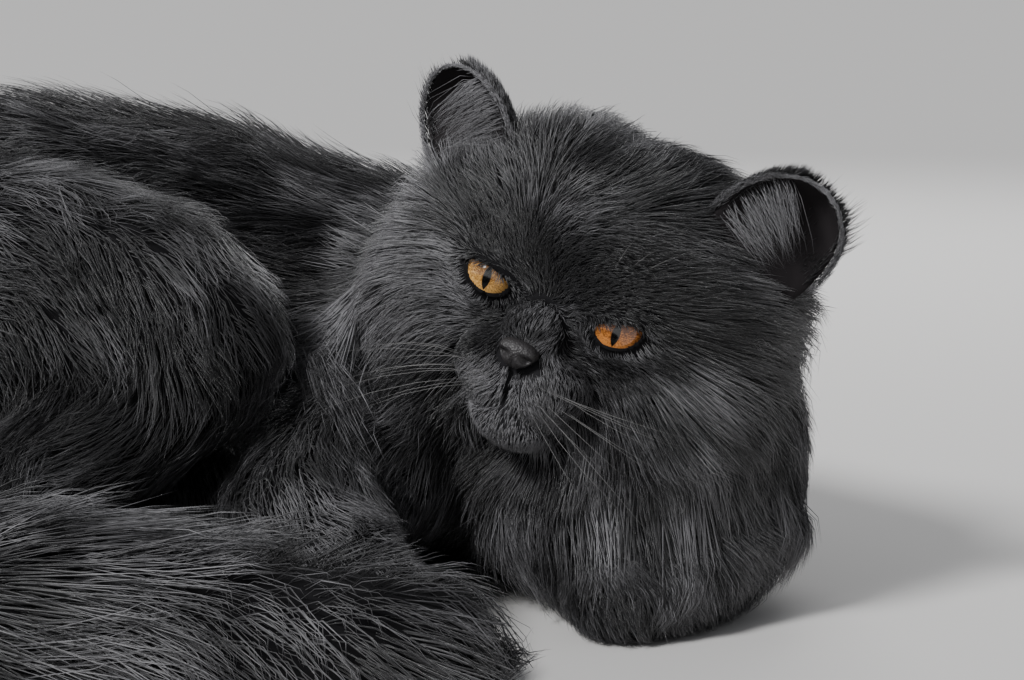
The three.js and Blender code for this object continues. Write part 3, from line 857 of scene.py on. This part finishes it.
def clumpTufts(path, length, roots, size, pull):  # draws tips together towards every so many-th tuft
    count = len(path)
    guides = dice.choice(count, size=count // size, replace=False)
    tree = KDTree(len(guides))
    for i, guide in enumerate(guides):
        tree.insert(roots[guide], i)
    tree.balance()
    nearest = np.array([guides[tree.find(root)[1]] for root in roots])
    share = np.linspace(0, 1, path.shape[1])[None, :, None] ** 1.3
    draw = dice.uniform(*pull, count)[:, None, None] * step(length, 8, 26)[:, None, None]
    away = np.linalg.norm(path[nearest] - path, axis=2, keepdims=True)
    ease = np.minimum(1, 12 / np.maximum(away, 1e-6))
    path = path + (path[nearest] - path) * share * draw * ease
    path[:, :, 2] = np.maximum(path[:, :, 2], 0.4)
    return path, nearest


# How light a tuft is: shares of its own, its clumps' and a slow change, the painted shadow along the mouth's
# line, and what the lids change
toneLook = {
    "middle": 0.42,
    "tuft": 0.3,
    "tuftSpread": 0.34,
    "clump": 0.35,
    "clumpSpread": 0.46,
    "slow": 0.1,
    # painted shadow along the mouth's line
    "mouth": 0.8,
    "lids": 0.3,
    "kept": 0.65,  # on the mesh: the tuft's own tone, and what tip and root change, with a painted highlight on each ridge and painted shade on the sides
    "tip": 0.62,
    "root": -0.14,
    "ridgeHighlightSideShade": 0.1,
}


def tuftMesh(name, path, out, wide, thick, uv, tone, rings):
    # A tuft has rings of three corners, a point at its tip and a closed root
    count = len(path)
    picked = np.round(np.linspace(0, path.shape[1] - 1, rings + 1)).astype(int)
    line = path[:, picked]
    along = unit(np.gradient(line, axis=1))
    side = unit(np.cross(along, out[:, None, :]))
    up = np.cross(side, along)
    shares = np.linspace(0, 1, rings + 1)[:-1]
    girth = 0.6 + 0.4 * np.sin(np.pi * np.minimum(shares * 1.5, 1)) - 0.45 * shares**2
    w = (wide[:, None] * girth)[:, :, None] / 2
    t = (thick[:, None] * girth)[:, :, None]
    body = line[:, :rings]
    corners = np.stack([
        body + side[:, :rings] * w - up[:, :rings] * t * 0.3,
        body + up[:, :rings] * t * 0.7,
        body - side[:, :rings] * w - up[:, :rings] * t * 0.3,
    ], 2)
    tips = line[:, rings]
    vertices = np.concatenate([corners.reshape(count, -1, 3), tips[:, None]], 1)
    perTuft = vertices.shape[1]
    faces = [(2, 1, 0)]
    quads = []
    for ring in range(rings - 1):
        for i in range(3):
            a, b = ring * 3 + i, ring * 3 + (i + 1) % 3
            quads.append((a, b, b + 3, a + 3))
    last = (rings - 1) * 3
    faces += [(last + i, last + (i + 1) % 3, perTuft - 1) for i in range(3)]
    start = (np.arange(count) * perTuft)[:, None, None]
    triangles = (np.array(faces)[None] + start).reshape(-1, 3)
    fours = (np.array(quads)[None] + start).reshape(-1, 4) if quads else np.empty((0, 4), int)
    loops = np.concatenate([triangles.ravel(), fours.ravel()])
    firstFour = len(triangles) * 3
    starts = np.concatenate([np.arange(len(triangles)) * 3, firstFour + np.arange(len(fours)) * 4])
    mesh = bpy.data.meshes.new(name)
    mesh.vertices.add(count * perTuft)
    mesh.vertices.foreach_set("co", toFrame(vertices.reshape(-1, 3)).ravel())
    mesh.loops.add(len(loops))
    mesh.loops.foreach_set("vertex_index", loops.astype(np.int32))
    mesh.polygons.add(len(starts))
    mesh.polygons.foreach_set("loop_start", starts.astype(np.int32))
    mesh.update(calc_edges=True)
    mesh.polygons.foreach_set("use_smooth", np.ones(len(starts), bool))
    level = np.append(np.repeat(shares, 3), 1)
    across = np.append(np.tile([0.5, 0, -0.5], rings), 0)
    patch = np.stack([across, level - 0.5], 1) * coatLooks["patch"]
    places = (uv[:, None] + patch[None]).reshape(-1, 2)
    layer = mesh.uv_layers.new(name="OFBake")
    layer.data.foreach_set("uv", places[loops].ravel())
    # painted highlight along each tuft's ridge and painted shade on its sides
    ridgeHighlightSideShade = np.append(np.tile([-1, 1, -1], rings), 0) * toneLook["ridgeHighlightSideShade"]
    upwards = level**1.1 * toneLook["tip"] + toneLook["root"] + ridgeHighlightSideShade
    tones = (tone[:, None] * toneLook["kept"] + upwards[None]).ravel()
    mesh.attributes.new("tone", "FLOAT", "POINT").data.foreach_set("value", tones.astype(np.float32))
    seeds = dice.random(count)[:, None] * np.array([60.0, 25.0, 90.0])
    strands = seeds[:, None] + np.stack([across * 4.5, level * 1.2, level * 0], 1)[None]
    strands = strands.astype(np.float32).ravel()
    mesh.attributes.new("strand", "FLOAT_VECTOR", "POINT").data.foreach_set("vector", strands)
    piece = bpy.data.objects.new(name, mesh)
    bpy.context.scene.collection.objects.link(piece)
    return piece


def partOf(p):  # the part of the body that each root grows on
    q = toHead(p)
    heights = [part.over(p)[0] for part in lengths] + [overHead(q)]
    return np.array([part.name for part in lengths] + ["head"])[np.array(heights).argmin(0)]


# The lengths that each coat piece covers, and the rings of its tufts
coatPieces = {
    "faceCoat": (["head"], 2),
    "headCoat": (["head"], 3),
    "ruffCoat": (["neck", "chest", "foreleg_left", "forepaw_left"], 3),
    "flankCoat": (["belly"], 3),
    "rumpCoat": (["rump"], 3),
    "tailCoat": (["tail_base", "tail_middle", "tail_tip"], 3),
    "hindCoat": (["thigh_right", "thigh_left", "hind_foot_right", "hind_foot_left"], 3),
    "forelegCoat": (["foreleg_right", "forepaw_right"], 3),
}
pieceLimit = 180000  # triangles


def makeCoat(skin, material):
    count = coatLooks["tufts"]
    roots, normals, uv, seen = sowRoots(skin, count)
    path, length = combTufts(roots, normals)
    tone = toneLook["tuft"] * dice.normal(toneLook["middle"], toneLook["tuftSpread"], count)
    tone = tone + toneLook["slow"] * slowNoise(roots, 34, 5)
    for size, *pull in coatLooks["clumps"]:
        path, nearest = clumpTufts(path, length, roots, size, pull)
        ofClump = dice.normal(toneLook["middle"], toneLook["clumpSpread"], count)[nearest]
        tone = tone + toneLook["clump"] * ofClump
    q = toHead(roots)
    # painted shadow: tufts rooted by the mouth's line are darker
    tone = tone - toneLook["mouth"] * step(mouthDistance(q), 3.0, 1.2)
    tone = tone + toneLook["lids"] * step(eyeShare(q), 1.7, 1.05) * (q[:, 2] > 10)
    tone = np.clip(tone, -0.2, 1.2)
    coarse = coatLooks["tufts"] / count
    wide = coatLooks["width"][0] + coatLooks["width"][1] * length
    wide = wide * dice.uniform(0.7, 1.3, count) * np.sqrt(coarse / seen)
    part = partOf(roots)
    short = length < 12
    print("coat combed,", count, "tufts")
    for name, (parts, rings) in coatPieces.items():
        mine = np.isin(part, parts)
        if name == "faceCoat":
            mine &= short
        elif name == "headCoat":
            mine &= ~short
        faces = 4 + 6 * (rings - 1)
        chosen = np.flatnonzero(mine)
        chunks = max(1, math.ceil(len(chosen) * faces / pieceLimit))
        for i, chunk in enumerate(np.array_split(chosen, chunks)):
            label = f"{name}{i + 1}" if chunks > 1 else name
            rows = [values[chunk] for values in (path, normals, wide, wide * 0.5, uv, tone)]
            finishPiece(tuftMesh(label, *rows, rings), label, material)
            print(label, len(chunk), "tufts,", len(chunk) * faces, "triangles")


# Eyes
eyeLook = {
    "gaze": (0.2, -0.07, 1.0),
    "iris": 7.9,
    "pupil": (1.3, 4.2),
    "rim": (0.02, 0.012, 0.008),
    "slit": (0.003, 0.003, 0.003),
    "white": (0.05, 0.035, 0.03),
    "fibres": {"round": 7.0, "outward": 0.35, "scale": 2.2, "strength": 1.7},
    "specks": {"scale": 2400.0, "strength": 0.9},
}


def eyeMaterial(name, centre, look):
    values = {"Roughness": 0.16, "Coat Weight": 1.0, "Coat Roughness": 0.02, "Specular IOR Level": 0.5}
    material, shader, place = newMaterial(name, values)
    gaze = unit(np.array(eyeLook["gaze"]))
    right = unit(np.cross([0, 1, 0], gaze))
    up = np.cross(gaze, right)
    ways = [axes @ v for v in (right, up)]
    x = (place.along(ways[0]) - float(np.dot(ways[0], centre))) * 1000
    y = (place.along(ways[1]) - float(np.dot(ways[1], centre))) * 1000
    radius = x.maths("SQRT", x * x + y * y)
    angle = x.maths("ARCTAN2", y, x)
    fibres, specks = eyeLook["fibres"], eyeLook["specks"]
    turns, outward = angle * fibres["round"], radius * fibres["outward"]
    polar = place.node("ShaderNodeCombineXYZ", None, {0: turns, 1: outward})
    share = radius / eyeLook["iris"]
    light = (polar.noise(fibres["scale"], 4.0) - 0.5) * fibres["strength"]
    light = light + (place.noise(specks["scale"], 2.0) - 0.5) * specks["strength"]
    # painted shade: the iris darker towards the upper lid and lighter towards the bottom
    light = light + share * 0.3 - y * look["paintedLidShade"] + 0.28
    iris = light.ease(0.1, 0.9).blend(look["deep"], look["bright"])
    iris = share.ease(0.9, 1.0).blend(iris, eyeLook["rim"])
    slit = x.maths("ABSOLUTE", x) / eyeLook["pupil"][0] + (y / eyeLook["pupil"][1]) ** 2
    colour = (1 - slit.ease(0.82, 1.06)).blend(iris, eyeLook["slit"])
    feed(shader, "Base Color", share.ease(0.99, 1.05).blend(colour, eyeLook["white"]))
    return material


def makeEye(name, node, look):
    clearSelection()
    centre = nodeMiddle(node)
    radius = eyeball["radius"] * mm
    bpy.ops.mesh.primitive_uv_sphere_add(segments=64, ring_count=40, radius=radius, location=centre)
    ball = bpy.context.object
    settle(ball)
    places = vertexPlaces(ball) - centre
    front = places @ (axes @ unit(np.array(eyeLook["gaze"]))) / radius
    bulge = 1 + 0.035 * step(front, 0.66, 0.92)  # the cornea stands out a little
    placeVertices(ball, places * bulge[:, None] + centre)
    pick(ball)
    bpy.ops.object.shade_smooth()
    finishPiece(ball, name, eyeMaterial(name + "Iris", centre, look))
    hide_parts(node)
    return ball


def sweptLoop(name, points, out, wide, thick):  # closed band of eight sides along a closed line
    count = len(points)
    along = unit(np.roll(points, -1, 0) - np.roll(points, 1, 0))
    side = unit(np.cross(along, out))
    up = np.cross(side, along)
    sides = 8
    turns = np.arange(sides) * 2 * np.pi / sides
    rings = points[:, None] + side[:, None] * np.cos(turns)[None, :, None] * wide
    rings = rings + up[:, None] * np.sin(turns)[None, :, None] * thick
    faces = []
    for i in range(count):
        for j in range(sides):
            a, b = i * sides + j, i * sides + (j + 1) % sides
            c, d = ((i + 1) % count) * sides + (j + 1) % sides, ((i + 1) % count) * sides + j
            faces.append((a, b, c, d))
    mesh = bpy.data.meshes.new(name)
    mesh.from_pydata(toFrame(rings.reshape(-1, 3)).tolist(), [], faces)
    piece = bpy.data.objects.new(name, mesh)
    bpy.context.scene.collection.objects.link(piece)
    pick(piece)
    bpy.ops.object.mode_set(mode="EDIT")
    bpy.ops.mesh.select_all(action="SELECT")
    bpy.ops.mesh.normals_make_consistent(inside=False)
    bpy.ops.object.mode_set(mode="OBJECT")
    bpy.ops.object.shade_smooth()
    return piece


lidRim = {"wide": 0.62, "thick": 0.5, "proud": 0.4}


def makeLidRim(side, material):
    turns = np.linspace(0, 2 * np.pi, 56, endpoint=False)
    a = np.cos(turns) * eyeOpening["wide"] / 2
    b = np.sin(turns) * np.where(np.sin(turns) > 0, eyeOpening["over"], eyeOpening["under"])
    ball = np.sqrt(np.maximum((eyeball["radius"] + lidRim["proud"]) ** 2 - a**2 - b**2, 4))
    line = fromOpening(a, b, ball, side)
    points = outOfHead(line)
    out = unit(points - outOfHead(eyeMiddle(side)[None]))
    name = "lidRimLeft" if side > 0 else "lidRimRight"
    rim = sweptLoop(name, points, out, lidRim["wide"], lidRim["thick"])
    return finishPiece(rim, name, material)


# Nose leather with pressed-in nostrils, their wings and a groove below
nostril = {"apart": 3.7, "level": -0.5, "wide": 1.75, "tall": 1.05, "deep": 2.4}
noseWing = {"apart": 5.6, "level": 0.4, "wide": 1.4, "tall": 2.2, "high": 0.5}
noseGroove = {"wide": 0.55, "deep": 0.9}


def makeNose(material):
    clearSelection()
    bpy.ops.mesh.primitive_uv_sphere_add(segments=72, ring_count=48, radius=1, location=(0, 0, 0))
    nose = bpy.context.object
    q = vertexPlaces(nose)
    x, y, z = q[:, 0].copy(), q[:, 2].copy(), -q[:, 1].copy()
    wide, tall, deep = noseLeather["wide"], noseLeather["tall"], noseLeather["deep"]
    px = x * wide / 2 * (0.8 + 0.24 * y)
    py = y * tall / 2
    pz = np.sign(z) * np.abs(z) ** 0.62 * deep / 2  # flatter in front than a ball
    for side in (1, -1):
        across = px - side * nostril["apart"]
        level = py - nostril["level"] - 0.28 * np.abs(across)  # it slants up on the outside
        away = np.hypot(across / nostril["wide"], level / nostril["tall"])
        pz = pz - np.where(z > 0, nostril["deep"] * np.exp(-(away**2) * 1.1), 0)
        across, level = px - side * noseWing["apart"], py - noseWing["level"]
        away = np.hypot(across / noseWing["wide"], level / noseWing["tall"])
        pz = pz + np.where(z > 0, noseWing["high"] * np.exp(-(away**2)), 0)
    groove = noseGroove["deep"] * np.exp(-((px / noseGroove["wide"]) ** 2)) * step(-py, -1.0, 2.0)
    pz = pz - np.where(z > 0, groove, 0)
    q = np.stack([px, py + noseLeather["down"], pz + noseLeather["front"] - deep / 2], 1)
    placeVertices(nose, toFrame(outOfHead(q)))
    pick(nose)
    bpy.ops.object.mode_set(mode="EDIT")
    bpy.ops.mesh.select_all(action="SELECT")
    bpy.ops.mesh.normals_make_consistent(inside=False)
    bpy.ops.object.mode_set(mode="OBJECT")
    bpy.ops.object.shade_smooth()
    finishPiece(nose, "noseLeather", material)
    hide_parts("nose")
    return nose


def leatherMaterial():
    values = {"Roughness": 0.5, "Base Color": (0.022, 0.02, 0.021, 1)}
    material, shader, place = newMaterial("noseLeather", values)
    pebbles = place.node("ShaderNodeTexVoronoi", None, {"Vector": place, "Scale": 1800.0})
    bump = pebbles.node("ShaderNodeBump", None, {"Strength": 0.6, "Distance": 0.0003, "Height": pebbles})
    feed(shader, "Normal", bump)
    return material


# Ears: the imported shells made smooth, with short fur outside and long light hairs across the cup
earLook = {
    "ear_left": {"base": (47, 34.5, 4), "across": (33, -21, -10), "tip": (12, 24, 3), "swivel": 5},
    "ear_right": {"base": (-45.5, 28, 5), "across": (-27.5, -28, -10), "tip": (-17, 23, 1), "swivel": 10},
}
earSize = {
    "halfWide": 18.5,
    "tall": 27,
    "deep": 12,
    "liningWide": 16.3,
    "liningDeep": 9.8,
    "cupDeep": 9,
}


def earWays(look):
    rise = unit(np.array(look["tip"], float))
    outer = np.array(look["across"], float)
    outer = unit(outer - rise * (outer @ rise))
    side = 1 if look["base"][0] > 0 else -1
    front = np.cross(outer, rise) * side
    cos, sin = math.cos(math.radians(look["swivel"])), math.sin(math.radians(look["swivel"]))
    return rise, outer * cos - front * sin, front * cos + outer * sin


def makeEar(node, name, material):
    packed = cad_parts[node]
    ear = packed.copy()
    ear.data = packed.data.copy()
    bpy.context.scene.collection.objects.link(ear)
    pick(ear)
    ear.parent = None
    bpy.ops.object.mode_set(mode="EDIT")
    bpy.ops.mesh.select_all(action="SELECT")
    bpy.ops.mesh.remove_doubles(threshold=0.00002)
    bpy.ops.object.mode_set(mode="OBJECT")
    smooth = ear.modifiers.new("smooth", "SUBSURF")
    smooth.levels = smooth.render_levels = 2
    applyModifiers(ear)
    for layer in list(ear.data.uv_layers):
        ear.data.uv_layers.remove(layer)
    pick(ear)
    bpy.ops.object.shade_smooth()
    finishPiece(ear, name, material)
    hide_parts(node)
    return ear


def growHairs(name, roots, starts, ends, length, wide, tone, material, rings, droop=0.0):
    # Hairs that leave along their start ways and bend round to their end ways
    count = len(roots)
    points = [roots]
    for i in range(1, 5):
        way = unit(starts * (1 - i / 4) + ends * (i / 4) + np.array([0, 0, -droop * i / 4]))
        points.append(points[-1] + way * (length / 4)[:, None])
    path = np.stack(points, 1)
    path[:, :, 2] = np.maximum(path[:, :, 2], 0.4)
    out = unit(np.cross(starts, np.array([0.3, 0.2, 0.9])))
    uv = 0.5 + 0.45 * (dice.random((count, 2)) - 0.5)
    piece = tuftMesh(name, path, out, wide, wide * 0.6, uv, tone, rings)
    return finishPiece(piece, name, material)


def earTaper(t):
    return np.maximum(0, 1 - np.maximum(t, 0) ** 2.6) ** 0.55


# Hairs of an ear: how many, least and most length, width and how light, with its spread
earHairs = {
    "back": (3800, (2.2, 4.6), 0.22, (0.4, 0.16)),
    "wisps": (150, (6, 12), 0.17, (0.75, 0.2)),
    "lining": (1100, (2.5, 5), 0.24, (0.15, 0.15)),
    "cup": (300, (12, 25), 0.16, (1.6, 0.3)),
    # the rim's hairs are light as a painted highlight along the ear's edge
    "rim": (2600, (1.3, 2.8), 0.15, (1.35, 0.25)),
}
earLean = {"back": 0.06, "wisps": 0.6}  # how far the outer hairs stand off


def earHairSizes(kind):
    most, span, wide, tones = earHairs[kind]
    count = most
    length = dice.uniform(*span, count)
    return count, (length, np.full(count, wide), np.clip(dice.normal(*tones, count), 0, 2))


def uneven(count, spread):
    return dice.normal(0, spread, (count, 3))


def furEar(node, name, material):
    look = earLook[node]
    rise, wide, front = earWays(look)
    base = np.array(look["base"], float)
    halfWide = earSize["halfWide"]

    def inEar(t, across, behind):  # place by share of the height, and millimetres across and behind
        level = rise * (np.asarray(t) * earSize["tall"])[:, None]
        return base + level + wide * np.asarray(across)[:, None] - front * np.asarray(behind)[:, None]

    def grow(kind, roots, starts, ends, sizes, rings):
        ways = (unit(starts) @ axes.T, unit(ends) @ axes.T)
        growHairs(name + kind, outOfHead(roots), *ways, *sizes, material, rings)

    for kind, lean in earLean.items():
        count, sizes = earHairSizes(kind)
        if kind == "back":
            t = dice.random(count) ** 0.8 * 1.02 - 0.1
            angle = dice.uniform(-0.05, np.pi + 0.05, count)
        else:
            t = dice.uniform(0.2, 0.8, count)
            angle = dice.normal(0.7, 0.3, count)
        taper = earTaper(t)
        roots = inEar(t, np.cos(angle) * halfWide * taper, np.sin(angle) * earSize["deep"] * taper**0.8)
        ways = np.cos(angle)[:, None] * wide - np.sin(angle)[:, None] * front * 0.75
        starts = unit(ways * lean + rise + uneven(count, 0.12))
        ends = unit(rise + ways * 0.12 + uneven(count, 0.1))
        grow(kind.capitalize(), roots, starts, ends, sizes, 2)
    # short dark hairs line the cup
    count, sizes = earHairSizes("lining")
    t = dice.uniform(0, 0.95, count)
    angle = dice.uniform(0.1, np.pi - 0.1, count)
    taper = earTaper(t)
    behind = np.sin(angle) * earSize["liningDeep"] * taper**0.8 * step(t, -0.2, 0.4)
    roots = inEar(t, np.cos(angle) * earSize["liningWide"] * taper, behind)
    starts = rise + front * 0.35 + uneven(count, 0.14)
    grow("Lining", roots, starts, rise + uneven(count, 0.2), sizes, 2)
    # long light hairs fan across the cup from its inner edge and foot
    count, sizes = earHairSizes("cup")
    t = dice.uniform(-0.05, 0.8, count)
    inner = dice.uniform(0.5, 0.97, count)
    taper = earTaper(t)
    roots = inEar(t, -halfWide * taper * inner, earSize["cupDeep"] * np.sqrt(1 - inner**2) * taper)
    starts = front * 0.7 + wide * 0.45 + rise * 0.1 + uneven(count, 0.14)
    meet = inEar(np.full(count, 0.05), np.full(count, halfWide * 0.55), np.full(count, -4.0))
    grow("Cup", roots, starts, unit(meet - roots) + uneven(count, 0.14), sizes, 3)
    # short hairs lie along the rim, painted light as a highlight along the ear's edge
    count, sizes = earHairSizes("rim")
    t = 1 - (1 - dice.random(count)) ** 1.8
    edge = np.where(dice.random(count) < 0.5, 1, -1)
    lip = dice.uniform(0.96, 1.07, count)
    onRim, ahead = (
        inEar(at, halfWide * earTaper(at) * lip * edge, np.full(count, -0.1))
        for at in (t, np.minimum(t + 0.02, 1))
    )
    starts = unit(ahead - onRim + rise * 0.01) + wide * (edge * 0.1)[:, None] + front * 0.12
    starts = starts + uneven(count, 0.16)
    grow("Rim", onRim + uneven(count, 0.22), starts, starts, sizes, 2)


# Whiskers on the pads and brows
whiskerLook = {
    "perPad": 11,
    "perBrow": 3,
    "long": (34, 60),
    "browLong": (14, 24),
    "thick": 0.14,
    "droop": 0.1,
    "colour": (0.2, 0.197, 0.195, 1),
}
whiskerDroop = {1: 0.0, -1: 0.55}  # the head's tilt hangs the ones on the cat's right further


def makeWhiskers(material):
    roots, starts, ends, longs = [], [], [], []
    for side in (1, -1):
        for i in range(whiskerLook["perPad"]):
            row, column = i % 3, i // 3
            fall = whiskerDroop[side] + 0.18 * row + dice.normal(0, 0.1)
            roots.append((side * (8 + 2.6 * column), -18.5 - 3.2 * row - 0.6 * column, 42 - 2.2 * column))
            starts.append((side, 0.1 - 0.2 * row + dice.normal(0, 0.08), 0.75 - 0.1 * column))
            ends.append((side * 0.95, -fall, 0.05 - 0.1 * column))
            longs.append(dice.uniform(*whiskerLook["long"]))
        for i in range(whiskerLook["perBrow"]):
            roots.append((side * (15 + 3.0 * i), 17 + 0.5 * i, 28 - i))
            starts.append((side * (0.1 + 0.2 * i), 0.8, 0.7))
            ends.append((side * (0.35 + 0.25 * i), 0.9, -0.1))
            longs.append(dice.uniform(*whiskerLook["browLong"]))
    roots, starts, ends = (np.array(v, float) for v in (roots, starts, ends))
    ways = (unit(starts) @ axes.T, unit(ends) @ axes.T)
    sizes = (np.array(longs), np.full(len(roots), whiskerLook["thick"]), np.full(len(roots), 1.0))
    return growHairs("whiskers", outOfHead(roots), *ways, *sizes, material, 4, whiskerLook["droop"])


def whiskerMaterial():
    return newMaterial("whiskerHorn", {"Base Color": whiskerLook["colour"], "Roughness": 0.45})[0]


# Everything on the cat
def makeCat():
    skin = makeSkin()
    finishPiece(skin, "skin", skinMaterial())
    fleshNodes = ["head"] + list(stations)
    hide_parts(*fleshNodes)
    coat = coatMaterial()
    makeCoat(skin, coat)
    # paintedLidShade: how strongly the iris is painted darker towards the upper lid
    amber = {"deep": (0.1, 0.028, 0.006), "bright": (0.62, 0.23, 0.055), "paintedLidShade": 0.1}
    gold = {"deep": (0.16, 0.06, 0.012), "bright": (0.8, 0.45, 0.14), "paintedLidShade": 0.08}
    makeEye("eyeLeft", "eye_left", amber)
    makeEye("eyeRight", "eye_right", gold)
    dark = newMaterial("lidSkin", {"Base Color": (0.012, 0.01, 0.01, 1), "Roughness": 0.4})[0]
    for side in (1, -1):
        makeLidRim(side, dark)
    makeNose(leatherMaterial())
    leather = {"Base Color": (0.014, 0.012, 0.013, 1), "Roughness": 0.85, "Specular IOR Level": 0.15}
    earSkin = newMaterial("earSkin", leather)[0]
    for node, name in (("ear_left", "earLeft"), ("ear_right", "earRight")):
        makeEar(node, name, earSkin)
        furEar(node, name, coat)
    makeWhiskers(whiskerMaterial())
    print("cat dressed")


makeCat()

# Stage: pale floor, soft lights and the camera at the photograph's angle
stageLook = {
    "floor": (0.6, 0.59, 0.58),
    "floorWide": 160,
    "air": (0.86, 0.88, 0.92),
    "world": 0.34,
    "key": 3.8,
    "keySoft": 14,
    "rim": 9.0,
    "front": 1.6,
}
cameraLook = {
    "place": (0, -709, 200.6),
    "down": 8,
    "focal": 2506,
    "eyesAt": (545, 301),
    "picture": (1024, 680),
    "sensor": 36,
}


def makeStage():
    clearSelection()
    bpy.ops.mesh.primitive_plane_add(size=stageLook["floorWide"], location=(0, 0, 0))
    floor = bpy.context.object
    floor.name = "floor"
    paint = {"Base Color": (*stageLook["floor"], 1), "Roughness": 0.9}
    floor.data.materials.append(newMaterial("paleFloor", paint)[0])
    world = bpy.data.worlds.new("studio")
    world.use_nodes = True
    air = world.node_tree.nodes["Background"].inputs
    air["Color"].default_value = (*stageLook["air"], 1)
    air["Strength"].default_value = stageLook["world"]
    bpy.context.scene.world = world
    key = addLight("keyLight", "SUN", (-0.75, -0.85, 1.05), stageLook["key"])
    key.data.angle = math.radians(stageLook["keySoft"])
    rim = addLight("rimLight", "AREA", (0.2, 1.1, 0.9), stageLook["rim"])
    rim.data.size = 0.8
    front = addLight("frontLight", "AREA", (-0.5, -1.0, 0.36), stageLook["front"])
    front.data.size = 0.16


def addLight(name, kind, place, power):
    light = bpy.data.objects.new(name, bpy.data.lights.new(name, kind))
    light.data.energy = power
    bpy.context.scene.collection.objects.link(light)
    light.location = place
    light.rotation_euler = (Vector((0.05, 0, 0.08)) - Vector(place)).to_track_quat("-Z", "Y").to_euler()
    return light


def makeCamera():
    data = bpy.data.cameras.new("viewer")
    camera = bpy.data.objects.new("viewer", data)
    bpy.context.scene.collection.objects.link(camera)
    width, height = cameraLook["picture"]
    data.sensor_width = cameraLook["sensor"]
    data.lens = cameraLook["sensor"] * cameraLook["focal"] / width
    data.clip_start = 0.01
    down = math.radians(cameraLook["down"])
    ahead = Vector((0, math.cos(down), -math.sin(down)))
    upward = Vector((0, math.sin(down), math.cos(down)))
    across = (width / 2 - cameraLook["eyesAt"][0]) / cameraLook["focal"]
    below = (height / 2 - cameraLook["eyesAt"][1]) / cameraLook["focal"]
    aim = ahead + Vector((across, 0, 0)) - upward * below
    camera.location = toFrame(np.array(cameraLook["place"], float))
    camera.rotation_euler = aim.to_track_quat("-Z", "Y").to_euler()
    bpy.context.scene.camera = camera


makeStage()
makeCamera()
